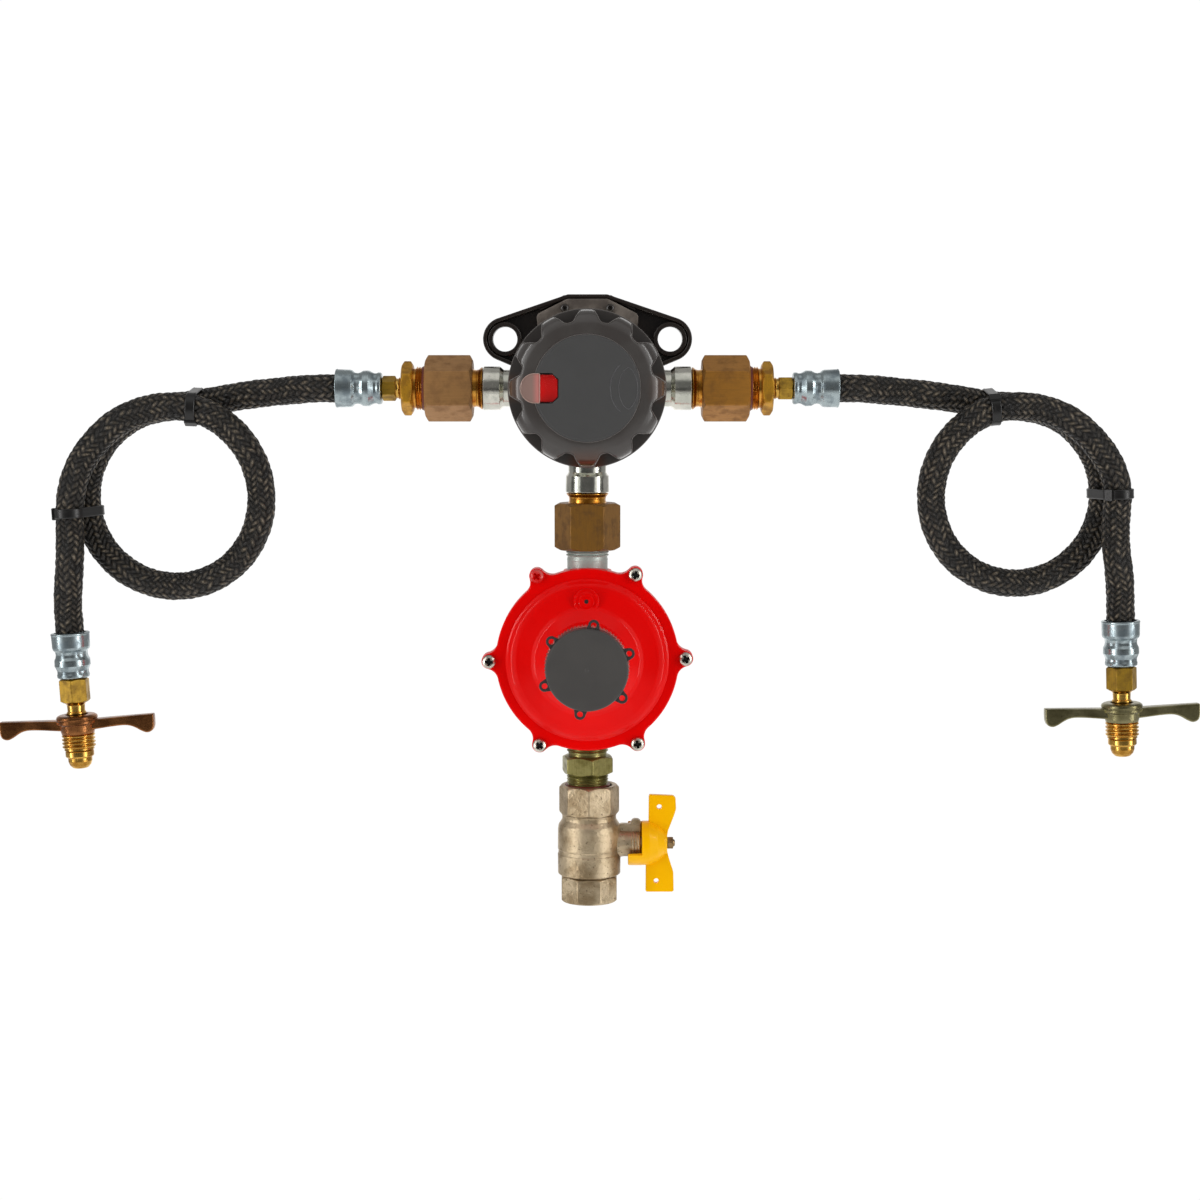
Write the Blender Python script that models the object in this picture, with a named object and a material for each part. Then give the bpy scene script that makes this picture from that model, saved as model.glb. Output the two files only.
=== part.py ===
"""Automatic changeover regulator for two gas cylinders, wall hung.

Frame: metres, +Z up, +X to the right seen from the front, -Y towards the viewer.
Origin: on the wall face of the bracket, midway between its two mounting holes.
Every dimension below is in millimetres and is scaled by MM when a mesh is made.
"""
import math

import bmesh
import bpy
from mathutils import Matrix, Vector

MM = 0.001
GAP = 0.3                      # clearance between pieces that touch

# ---------------------------------------------------------------- main layout
AXIS_Z = -30.8                 # height of the knob and of both inlet lines
PIPE_Y = -36.0                 # depth of the inlet and outlet lines
DISC_Z = -197.2                # height of the second-stage regulator's centre
VALVE_X = 1.0                  # the valve sits slightly off the outlet line
STEM_Z = -315.5                # height of the valve stem

# wall bracket
HOLE_X, HOLE_R = 51.8, 7.75
LOBE_R = 13.9
BRACKET_T, RIM_T, RIM_Y = 4.0, 2.8, -12.0
TOP_HALF, TOP_Z = 12.4, 28.0

# changeover body, bonnet and knob
BODY_R, BODY_FRONT, BODY_BACK = 38.0, -57.5, -12.3
NECK_R, COLLAR_R = 11.2, 13.5
COLLAR_IN, COLLAR_OUT = 52.3, 64.2
OUT_NECK_END, OUT_COLLAR_END = -83.3, -95.0
KNOB_R, KNOB_BACK, KNOB_FACE = 47.9, -60.0, -85.3
LABEL_R = 31.9
SCALLOPS = 12

# brass hex adapters: corner radius, length from the collar face
HEX_R, ADAPT_HEX_IN, ADAPT_LEN = 20.6, 6.3, 35.8
THREAD_R = 13.33               # 3/4 inch pipe thread, outer radius
BUSH_R, BUSH_IN, BUSH_OUT = 16.9, 7.0, 14.2
TAIL_R, TAIL_IN, TAIL_OUT = 7.8, 17.8, 26.4
FERRULE_LEN = 28.3
HOSE_R = 8.5

# second-stage regulator
FLANGE_R, EAR_R, EAR_PITCH_R = 56.3, 5.3, 60.4
EAR_PHASE = math.radians(0.8)
COVER_BACK, COVER_FRONT = -52.6, -57.0
BODY2_FRONT, BODY2_FLANGE = -51.0, -44.0
BELL_R, BELL_FRONT = 24.5, -94.7
CAP_R, CAP_FRONT, CAP_BACK = 24.7, -107.0, -95.0
LUG_PITCH_R, LUG_R, LUG_PHASE = 26.8, 3.3, math.radians(21.2)

# cylinder connectors: tilt of each end, and heights along the connector
SPIGOT_HEX = (28.8, 43.8)
WING_HUB = (51.6, 62.9)
WING_THREAD = 73.4
NOSE_END = 85.0
WING_SPAN = 48.5
LEFT_END, LEFT_TILT = Vector((-321.3, -42.0, -181.7)), math.radians(3.35)
RIGHT_END, RIGHT_TILT = Vector((330.9, -42.0, -174.2)), math.radians(2.1)


# ---------------------------------------------------------------- scene set-up
def clear_scene():
    for ob in list(bpy.data.objects):
        bpy.data.objects.remove(ob, do_unlink=True)


MATERIALS = {}


def material(name, colour, roughness, metallic):
    if name not in MATERIALS:
        mat = bpy.data.materials.new(name)
        mat.use_nodes = True
        bsdf = mat.node_tree.nodes["Principled BSDF"]
        bsdf.inputs["Base Color"].default_value = (*colour, 1.0)
        bsdf.inputs["Roughness"].default_value = roughness
        bsdf.inputs["Metallic"].default_value = metallic
        mat.diffuse_color = (*colour, 1.0)
        MATERIALS[name] = mat
    return MATERIALS[name]


def make_materials():
    material("bracket_plastic", (0.012, 0.010, 0.009), 0.35, 0.0)
    material("zinc_casting", (0.55, 0.55, 0.52), 0.30, 1.0)
    material("knob_plastic", (0.060, 0.058, 0.055), 0.30, 0.0)
    material("label", (0.055, 0.055, 0.058), 0.45, 0.0)
    material("window", (0.45, 0.33, 0.31), 0.10, 0.0)
    material("red_flag", (0.68, 0.01, 0.01), 0.35, 0.0)
    material("old_brass", (0.25, 0.12, 0.04), 0.38, 1.0)
    material("bright_brass", (0.65, 0.38, 0.10), 0.22, 1.0)
    material("tail_brass", (0.42, 0.30, 0.10), 0.35, 1.0)
    material("ferrule_zinc", (0.50, 0.55, 0.56), 0.28, 1.0)
    material("hose_rubber", (0.022, 0.020, 0.018), 0.55, 0.0)
    material("nylon_black", (0.010, 0.010, 0.010), 0.45, 0.0)
    material("wing_bronze", (0.28, 0.18, 0.11), 0.40, 1.0)
    material("wing_olive", (0.30, 0.26, 0.15), 0.38, 1.0)
    material("red_paint", (0.75, 0.0, 0.0), 0.16, 0.0)
    material("grey_steel", (0.40, 0.40, 0.38), 0.38, 1.0)
    material("cap_plastic", (0.075, 0.073, 0.073), 0.50, 0.0)
    material("screw_nickel", (0.55, 0.53, 0.48), 0.28, 1.0)
    material("yellow_zinc", (0.32, 0.29, 0.12), 0.32, 1.0)
    material("sand_nickel", (0.45, 0.36, 0.26), 0.48, 1.0)
    material("handle_yellow", (0.90, 0.47, 0.0), 0.35, 0.0)
    material("diaphragm_rubber", (0.02, 0.02, 0.02), 0.7, 0.0)
    material("plate_steel", (0.55, 0.55, 0.55), 0.35, 1.0)
    material("spring_steel", (0.45, 0.45, 0.47), 0.3, 1.0)
    material("ball_chrome", (0.7, 0.7, 0.7), 0.1, 1.0)


# ---------------------------------------------------------------- mesh helpers
def finish(name, bm, mat, matrix=None, sharp=32.0):
    """Turns a bmesh in millimetres into an object in metres."""
    bmesh.ops.recalc_face_normals(bm, faces=bm.faces)
    bmesh.ops.scale(bm, vec=(MM, MM, MM), verts=bm.verts)
    mesh = bpy.data.meshes.new(name)
    bm.to_mesh(mesh)
    bm.free()
    mesh.materials.append(MATERIALS[mat])
    mesh.shade_smooth()
    mesh.set_sharp_from_angle(angle=math.radians(sharp))
    ob = bpy.data.objects.new(name, mesh)
    bpy.context.scene.collection.objects.link(ob)
    if matrix is not None:
        ob.matrix_world = matrix
    return ob


def frame(origin, zdir, xdir):
    """Placement with local Z along zdir and local X along xdir (millimetres)."""
    z = Vector(zdir).normalized()
    x = Vector(xdir)
    x = (x - z * x.dot(z)).normalized()
    y = z.cross(x)
    rot = Matrix((x, y, z)).transposed().to_4x4()
    return Matrix.Translation(Vector(origin) * MM) @ rot


def polygon_radius(sides, corner, clamp=None):
    """Radius of a regular polygon by angle, with turned-down corners if clamped."""
    step = 2.0 * math.pi / sides

    def radius(angle):
        a = angle % step
        r = corner * math.cos(step / 2) / math.cos(a - step / 2)
        return min(r, clamp) if clamp else r
    return radius


def loft(bm, rings, n, closed=False, phase=0.0):
    """Skins rings (height, radius or radius function); closed joins last to first."""
    made = []
    for height, radius in rings:
        fn = radius if callable(radius) else None
        if fn is None and radius == 0:
            made.append([bm.verts.new((0, 0, height))])
            continue
        ring = []
        for i in range(n):
            a = 2.0 * math.pi * i / n
            r = fn(a) if fn else radius
            ring.append(bm.verts.new((r * math.cos(a + phase), r * math.sin(a + phase), height)))
        made.append(ring)
    pairs = list(zip(made, made[1:]))
    if closed:
        pairs.append((made[-1], made[0]))
    for a, b in pairs:
        if len(a) == 1 and len(b) == 1:
            continue
        for i in range(n):
            j = (i + 1) % n
            if len(a) == 1:
                bm.faces.new((a[0], b[j], b[i]))
            elif len(b) == 1:
                bm.faces.new((a[i], a[j], b[0]))
            else:
                bm.faces.new((a[i], a[j], b[j], b[i]))
    if not closed:
        for ring in (made[0], made[-1]):
            if len(ring) > 1:
                bm.faces.new(ring)


def turned(name, rings, n, mat, matrix, closed=False, phase=0.0, sharp=32.0):
    bm = bmesh.new()
    loft(bm, rings, n, closed, phase)
    return finish(name, bm, mat, matrix, sharp)


def prism(bm, outline, low, high, at=(0.0, 0.0), plane="XZ"):
    """Extrudes a closed outline between two depths, along Y for XZ outlines."""
    def point(p, d):
        a, b = p[0] + at[0], p[1] + at[1]
        return {"XZ": (a, d, b), "YZ": (d, a, b), "XY": (a, b, d)}[plane]
    low_ring = [bm.verts.new(point(p, low)) for p in outline]
    high_ring = [bm.verts.new(point(p, high)) for p in outline]
    bm.faces.new(low_ring)
    bm.faces.new(high_ring)
    n = len(outline)
    for i in range(n):
        j = (i + 1) % n
        bm.faces.new((low_ring[i], low_ring[j], high_ring[j], high_ring[i]))


def prism_object(name, outline, low, high, mat, plane="XZ"):
    bm = bmesh.new()
    prism(bm, outline, low, high, plane=plane)
    return finish(name, bm, mat)


def box_object(name, low, high, mat="plate_steel"):
    outline = [(low[0], low[2]), (high[0], low[2]), (high[0], high[2]), (low[0], high[2])]
    return prism_object(name, outline, low[1], high[1], mat)


def cylinder(name, origin, direction, r, length, n, mat="plate_steel", r2=None, start=0.0,
             xdir=None):
    r2 = r if r2 is None else r2
    xdir = xdir or ((0, 0, 1) if abs(direction[2]) < 0.9 else (1, 0, 0))
    return turned(name, [(start, r), (start + length, r2)], n, mat, frame(origin, direction, xdir))


def bake(ob):
    """Replaces the mesh by its evaluated result and drops the modifiers."""
    bpy.context.view_layer.update()
    graph = bpy.context.evaluated_depsgraph_get()
    mesh = bpy.data.meshes.new_from_object(ob.evaluated_get(graph))
    ob.modifiers.clear()
    ob.data = mesh


def combine(ob, tools, operation, solver="EXACT"):
    """Boolean with a list of helper solids, which are used up."""
    for tool in tools:
        mod = ob.modifiers.new(operation.lower(), "BOOLEAN")
        mod.operation = operation
        mod.solver = solver
        mod.object = tool
    bake(ob)
    for tool in tools:
        bpy.data.objects.remove(tool, do_unlink=True)
    return ob


def tidy(ob, sharp=32.0):
    """Merges stray points left by a cut and shades the result."""
    bm = bmesh.new()
    bm.from_mesh(ob.data)
    bmesh.ops.remove_doubles(bm, verts=bm.verts, dist=0.00002)
    bmesh.ops.dissolve_degenerate(bm, edges=bm.edges, dist=0.00002)
    bmesh.ops.recalc_face_normals(bm, faces=bm.faces)
    bm.to_mesh(ob.data)
    bm.free()
    ob.data.shade_smooth()
    ob.data.set_sharp_from_angle(angle=math.radians(sharp))
    return ob


def join(ob, *tools, solver="EXACT"):
    return combine(ob, list(tools), "UNION", solver)


def cut(ob, *tools, solver="EXACT"):
    return combine(ob, list(tools), "DIFFERENCE", solver)


def arc(cx, cz, r, start, end, count):
    """Points on an arc, angles in degrees, counter-clockwise if end > start."""
    return [(cx + r * math.cos(math.radians(start + (end - start) * i / (count - 1))),
             cz + r * math.sin(math.radians(start + (end - start) * i / (count - 1))))
            for i in range(count)]


def offset_outline(outline, distance):
    """Moves each point of a closed counter-clockwise outline inwards by distance."""
    result = []
    n = len(outline)
    for i in range(n):
        p0, p1, p2 = (Vector(outline[(i + k) % n]) for k in (-1, 0, 1))
        d1, d2 = (p1 - p0).normalized(), (p2 - p1).normalized()
        n1, n2 = Vector((-d1.y, d1.x)), Vector((-d2.y, d2.x))
        mid = (n1 + n2).normalized()
        result.append(tuple(p1 + mid * (distance / max(0.3, mid.dot(n1)))))
    return result


# ---------------------------------------------------------------- bracket
def bracket_outline():
    """Flat top, straight slopes to two round lobes, then a skirt round the body."""
    right = [(TOP_HALF, TOP_Z)]
    right += arc(HOLE_X, 0.0, LOBE_R, 68.0, -66.0, 7)
    right += [(36.5, -21.5), (36.5, -48.0), (22.0, -64.0)]
    left = [(-x, z) for x, z in reversed(right)]
    outline = right + left
    return list(reversed(outline))


def make_bracket():
    outline = bracket_outline()
    ob = prism_object("wall_bracket", outline, 0.0, -BRACKET_T, "bracket_plastic")
    # raised rim, made as a band of constant width standing on the plate
    bm = bmesh.new()
    inner = offset_outline(outline, RIM_T)
    n = len(outline)
    rings = []
    for pts, depth in ((outline, -BRACKET_T + 0.5), (outline, RIM_Y + 0.8),
                       (offset_outline(outline, 0.6), RIM_Y), (inner, RIM_Y),
                       (inner, -BRACKET_T + 0.5)):
        rings.append([bm.verts.new((p[0], depth, p[1])) for p in pts])
    for k in range(len(rings)):
        a, b = rings[k], rings[(k + 1) % len(rings)]
        for i in range(n):
            j = (i + 1) % n
            bm.faces.new((a[i], a[j], b[j], b[i]))
    rim = finish("rim", bm, "bracket_plastic")
    bosses = []
    for side in (-1, 1):
        bosses.append(cylinder("boss", (side * HOLE_X, -2.0, 0.0), (0, -1, 0), HOLE_R + 2.9, 9.6, 16,
                               "bracket_plastic"))
        bosses.append(cylinder("post", (side * 14.2, -2.0, 19.1), (0, -1, 0), 3.4, 10.0, 8,
                               "bracket_plastic"))
    seat = turned("seat", [(2.0, 33.5), (12.0, 33.5), (12.0, 30.0), (2.0, 30.0)], 24,
                  "bracket_plastic", frame((0, 0, AXIS_Z), (0, -1, 0), (1, 0, 0)), closed=True)
    join(ob, rim, seat, *bosses)
    holes = []
    for side in (-1, 1):
        holes.append(cylinder("hole", (side * HOLE_X, 2.0, 0.0), (0, -1, 0), HOLE_R, 20.0, 16))
        holes.append(cylinder("pilot", (side * 14.2, -5.0, 19.1), (0, -1, 0), 1.6, 12.0, 8))
    cut(ob, *holes)
    return tidy(ob)


def pan_screw(name, origin, direction, head_r, head_h, shank_r, shank_len, n, mat):
    """Pan head with a shank; the origin is under the head, the shank runs backwards."""
    rings = [(head_h, head_r * 0.55), (head_h * 0.72, head_r * 0.88), (head_h * 0.3, head_r),
             (0.0, head_r), (0.0, shank_r), (-shank_len, shank_r)]
    return turned(name, rings, n, mat, frame(origin, direction, (0, 0, 1)))


# ---------------------------------------------------------------- first stage
def make_changeover_body():
    rings = [(12.3, 0), (12.3, 33.0), (18.5, BODY_R), (50.0, BODY_R), (53.0, 42.3), (57.5, 42.3),
             (57.5, 32.0), (48.5, 26.0), (26.0, 26.0), (26.0, 0)]
    ob = turned("changeover_body", rings, 24, "zinc_casting",
                frame((0, 0, AXIS_Z), (0, -1, 0), (1, 0, 0)))
    parts = []
    for side in (-1, 1):
        neck = [(30.0, NECK_R), (COLLAR_IN, NECK_R), (COLLAR_IN, NECK_R + 1.0),
                (COLLAR_IN + 1.6, COLLAR_R), (COLLAR_OUT, COLLAR_R)]
        parts.append(turned("neck", neck, 12, "zinc_casting",
                            frame((0, PIPE_Y, AXIS_Z), (side, 0, 0), (0, 0, 1))))
    down = [(28.0, 11.6), (AXIS_Z - OUT_NECK_END, 11.6), (AXIS_Z - OUT_NECK_END, 12.4),
            (AXIS_Z - OUT_NECK_END + 1.6, COLLAR_R), (AXIS_Z - OUT_COLLAR_END, COLLAR_R)]
    parts.append(turned("neck", down, 12, "zinc_casting",
                        frame((0, PIPE_Y, AXIS_Z), (0, 0, -1), (1, 0, 0))))
    # top tab that the two bracket screws pass through
    tab = [(-30.0, -2.0), (30.0, -2.0), (31.0, 12.6), (16.5, 23.6), (-16.5, 23.6), (-31.0, 12.6)]
    parts.append(prism_object("tab", tab, -12.3, -15.6, "zinc_casting"))
    join(ob, *parts)
    cuts = []
    for side in (-1, 1):
        cuts.append(turned("bore", [(20.0, 3.7), (44.0, 3.7), (44.4, 8.4), (70.0, 8.4)], 12,
                           "zinc_casting", frame((0, PIPE_Y, AXIS_Z), (side, 0, 0), (0, 0, 1))))
        cuts.append(cylinder("screwhole", (side * 14.2, -10.0, 19.1), (0, -1, 0), 2.0, 8.0, 8))
    cuts.append(cylinder("outbore", (0, PIPE_Y, AXIS_Z - 20.0), (0, 0, -1), 8.4, 60.0, 12,
                         xdir=(1, 0, 0)))
    cut(ob, *cuts)
    return tidy(ob)


def make_first_stage():
    axis = frame((0, 0, AXIS_Z), (0, -1, 0), (1, 0, 0))
    make_changeover_body()
    for side, word in ((-1, "left"), (1, "right")):
        pan_screw("bracket_screw_" + word, (side * 14.2, -15.9, 19.1), (0, -1, 0), 2.6, 1.8,
                  1.3, 8.0, 10, "nylon_black")
    turned("bonnet", [(59.3, 42.3), (62.0, 42.3), (66.8, 24.0),
                      (67.5, 15.6), (78.3, 15.6), (78.3, 5.4), (76.3, 5.4), (76.3, 13.2),
                      (64.6, 13.2), (64.6, 21.0), (59.3, 21.0)], 20, "zinc_casting", axis,
           closed=True)
    turned("first_stage_diaphragm", [(57.8, 39.0), (59.0, 39.0), (59.0, 4.6), (57.8, 4.6)], 20,
           "diaphragm_rubber", axis, closed=True)
    # plate either side of the diaphragm, with a cone at the rear that spreads the valves
    turned("first_stage_plate", [(60.8, 0), (60.8, 18.0), (59.3, 18.0), (59.3, 4.0), (57.5, 4.0),
                                 (57.5, 20.0), (56.0, 20.0), (55.0, 5.5), (44.0, 6.0),
                                 (33.0, 2.0), (32.5, 0)], 16, "plate_steel", axis)
    make_spring("first_stage_spring", axis, 61.4, 72.5, 9.3, 1.0, 3.5, 8)
    turned("selector_cam", [(73.0, 0), (73.0, 12.0), (76.0, 12.0), (76.0, 5.0), (81.9, 5.0),
                            (81.9, 0)], 16, "plate_steel", axis)
    for side, word in ((-1, "left"), (1, "right")):
        turned("inlet_valve_" + word, [(4.1, 0), (4.1, 1.9), (45.2, 1.9), (45.2, 5.6),
                                       (49.0, 4.4), (49.0, 0)], 12, "plate_steel",
               frame((0, PIPE_Y, AXIS_Z), (side, 0, 0), (0, 0, 1)))
    make_knob(axis)


def make_spring(name, matrix, low, high, r, wire, turns, per_turn):
    """Open coil of round wire with its axis along local Z."""
    bm = bmesh.new()
    sides = 4
    count = int(turns * per_turn)
    rings = []
    for i in range(count + 1):
        t = i / count
        a = 2.0 * math.pi * turns * t
        h = low + wire + (high - low - 2.0 * wire) * t
        centre = Vector((r * math.cos(a), r * math.sin(a), h))
        out = Vector((math.cos(a), math.sin(a), 0))
        up = Vector((0, 0, 1))
        rings.append([bm.verts.new(centre + out * (wire * math.cos(2 * math.pi * k / sides))
                                   + up * (wire * math.sin(2 * math.pi * k / sides)))
                      for k in range(sides)])
    for a, b in zip(rings, rings[1:]):
        for k in range(sides):
            j = (k + 1) % sides
            bm.faces.new((a[k], a[j], b[j], b[k]))
    bm.faces.new(rings[0])
    bm.faces.new(rings[-1])
    return finish(name, bm, "spring_steel", matrix)


def window_outline(grow=0.0):
    """Half-round at the left, chamfered corners at the right, in the knob's plane."""
    cx, half = -32.4, 8.9 + grow
    right = -16.2 + grow
    pts = arc(cx, 0.0, half, 90.0, 270.0, 9)
    pts += [(right - 4.0, -half), (right, -half + 3.4), (right, half - 3.4), (right - 4.0, half)]
    return [(x, z + AXIS_Z) for x, z in pts]


def knob_surface(r):
    """Depth of the knob's sloping face at radius r."""
    table = ((32.4, 86.2), (38.0, 85.0), (42.0, 83.2), (45.0, 80.2), (46.8, 76.0))
    if r <= table[0][0]:
        return table[0][1]
    for (r0, d0), (r1, d1) in zip(table, table[1:]):
        if r <= r1:
            return d0 + (d1 - d0) * (r - r0) / (r1 - r0)
    return table[-1][1]


def make_knob(axis):
    per = 4
    n = SCALLOPS * per
    depth = {0: 0.0, 1: 0.0, 2: 7.0, 3: 0.0}

    def scalloped(r, share=1.0):
        return lambda a: r - share * depth[int(round(a / (2 * math.pi) * n)) % per]
    rings = [(85.3, 0), (85.3, 32.4), (86.2, 32.6), (83.2, 42.0), (80.0, scalloped(45.2, 0.6)),
             (66.0, scalloped(47.2)), (65.4, KNOB_R), (60.0, KNOB_R), (60.0, 43.0),
             (63.6, 43.0), (63.6, 37.8), (82.3, 37.8), (82.3, 0)]
    ob = turned("selector_knob", rings, n, "knob_plastic", axis)
    hub = turned("hub", [(82.8, 8.2), (82.8, 5.4), (78.7, 5.4), (78.7, 8.2)], 16, "knob_plastic",
                 axis, closed=True)
    join(ob, hub)
    cut(ob, prism_object("slot", window_outline(0.3), -79.0, -90.0, "knob_plastic"))
    tidy(ob)
    label = turned("knob_label_disc", [(85.6, 0), (85.6, LABEL_R), (86.2, LABEL_R), (86.2, 0)], 36,
                   "label", axis)
    cut(label, prism_object("slot", window_outline(0.3), -79.0, -90.0, "label"))
    tidy(label)
    # clear window, its front following the knob's slope
    outline = window_outline()
    bm = bmesh.new()
    back = [bm.verts.new((x, -82.6, z)) for x, z in outline]
    front = [bm.verts.new((x, -max(83.1, knob_surface(math.hypot(x, z - AXIS_Z)) - 0.2), z))
             for x, z in outline]
    bm.faces.new(back)
    bm.faces.new(front)
    for i in range(len(outline)):
        j = (i + 1) % len(outline)
        bm.faces.new((back[i], back[j], front[j], front[i]))
    finish("indicator_window", bm, "window")
    box_object("indicator_flag", (-30.9, -82.0, AXIS_Z - 8.4), (-16.6, -80.4, AXIS_Z + 8.4),
               "red_flag")


# ---------------------------------------------------------------- inlet and outlet fittings
def port_adapter(name, origin, direction, xdir):
    hexagon = polygon_radius(6, HEX_R)
    low = polygon_radius(6, HEX_R, HEX_R * 0.90)
    rings = [(-11.0, 7.9), (0.3, 7.9), (0.3, 13.2), (2.8, 11.4), (ADAPT_HEX_IN, 11.4),
             (ADAPT_HEX_IN, low), (ADAPT_HEX_IN + 1.3, hexagon), (ADAPT_LEN - 1.6, hexagon),
             (ADAPT_LEN, low), (ADAPT_LEN, 13.75), (19.5, 13.75), (17.5, 5.0), (-11.0, 5.0)]
    return turned(name, rings, 12, "old_brass", frame(origin, direction, xdir), closed=True)


def bushing(name, origin, direction, xdir):
    """Heights from the collar face, like the adapter's."""
    base = ADAPT_LEN
    hexagon = polygon_radius(6, BUSH_R)
    low = polygon_radius(6, BUSH_R, BUSH_R * 0.91)
    rings = [(base - 15.0, 13.1), (base + 4.6, THREAD_R), (base + 5.2, 12.3),
             (base + BUSH_IN, 12.3), (base + BUSH_IN, low), (base + BUSH_IN + 1.0, hexagon),
             (base + BUSH_OUT - 1.0, hexagon), (base + BUSH_OUT, low), (base + BUSH_OUT, 7.15),
             (base + 2.0, 7.15), (base + 1.0, 4.5), (base - 15.0, 4.5)]
    return turned(name, rings, 12, "bright_brass", frame(origin, direction, xdir), closed=True)


def hose_tail(name, origin, direction, xdir):
    base = ADAPT_LEN
    hexagon = polygon_radius(6, TAIL_R)
    low = polygon_radius(6, TAIL_R, TAIL_R * 0.9)
    rings = [(base + 3.5, 6.5), (base + BUSH_OUT + 1.0, 6.7), (base + BUSH_OUT + 1.8, 6.2),
             (base + TAIL_IN, 6.2), (base + TAIL_IN, low), (base + TAIL_IN + 0.8, hexagon),
             (base + TAIL_OUT - 0.8, hexagon), (base + TAIL_OUT, low), (base + TAIL_OUT, 4.3),
             (base + TAIL_OUT + 26.0, 4.3), (base + TAIL_OUT + 26.0, 2.4), (base + 3.5, 2.4)]
    return turned(name, rings, 12, "tail_brass", frame(origin, direction, xdir), closed=True)


def ferrule(name, origin, direction, xdir):
    """Crimped sleeve; the origin is at its mouth and the hose comes out backwards."""
    profile = ((0.0, 11.9), (1.2, 11.9), (9.5, 11.6), (13.5, 9.4), (18.0, 10.8), (20.5, 10.8),
               (24.5, 9.2), (26.5, 9.7), (FERRULE_LEN, 9.0))
    rings = [(h, r) for h, r in profile] + [(FERRULE_LEN, 4.75), (0.0, 4.75)]
    return turned(name, rings, 12, "ferrule_zinc", frame(origin, direction, xdir), closed=True)


def make_inlets():
    for side, word in ((-1, "left"), (1, "right")):
        start = (side * COLLAR_OUT, PIPE_Y, AXIS_Z)
        heading = (side, 0, 0)
        port_adapter("port_adapter_" + word, start, heading, (0, 0, 1))
        bushing("bushing_" + word, start, heading, (0, 0, 1))
        hose_tail("hose_tail_" + word, start, heading, (0, 0, 1))
        mouth = side * (COLLAR_OUT + ADAPT_LEN + TAIL_OUT + GAP + FERRULE_LEN)
        ferrule("inlet_ferrule_" + word, (mouth, PIPE_Y, AXIS_Z), (-side, 0, 0), (0, 0, 1))
    port_adapter("port_adapter_outlet", (0, PIPE_Y, OUT_COLLAR_END), (0, 0, -1), (1, 0, 0))


# ---------------------------------------------------------------- hoses
def spline_through(points, spacing):
    """Natural cubic spline through the points, resampled at an even spacing."""
    pts = [Vector(p) for p in points]
    n = len(pts)
    t = [0.0]
    for a, b in zip(pts, pts[1:]):
        t.append(t[-1] + (b - a).length)
    h = [t[i + 1] - t[i] for i in range(n - 1)]
    second = [Vector((0, 0, 0))] * n
    c = [0.0] * n
    d = [Vector((0, 0, 0))] * n
    for i in range(1, n - 1):
        rhs = 6.0 * ((pts[i + 1] - pts[i]) / h[i] - (pts[i] - pts[i - 1]) / h[i - 1])
        m = 2.0 * (h[i - 1] + h[i]) - h[i - 1] * c[i - 1]
        c[i] = h[i] / m
        d[i] = (rhs - h[i - 1] * d[i - 1]) / m
    for i in range(n - 2, 0, -1):
        second[i] = d[i] - c[i] * second[i + 1]

    def at(u):
        i = 0
        while i < n - 2 and u > t[i + 1]:
            i += 1
        a, b = (t[i + 1] - u) / h[i], (u - t[i]) / h[i]
        return (a * pts[i] + b * pts[i + 1]
                + ((a ** 3 - a) * second[i] + (b ** 3 - b) * second[i + 1]) * h[i] ** 2 / 6.0)
    dense = [at(t[-1] * k / 1500) for k in range(1501)]
    lengths = [0.0]
    for a, b in zip(dense, dense[1:]):
        lengths.append(lengths[-1] + (b - a).length)
    count = max(2, int(round(lengths[-1] / spacing)))
    result, k = [], 0
    for i in range(count + 1):
        want = lengths[-1] * i / count
        while k < len(lengths) - 2 and lengths[k + 1] < want:
            k += 1
        span = lengths[k + 1] - lengths[k]
        f = (want - lengths[k]) / span if span else 0.0
        result.append(dense[k].lerp(dense[k + 1], f))
    return result


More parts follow.
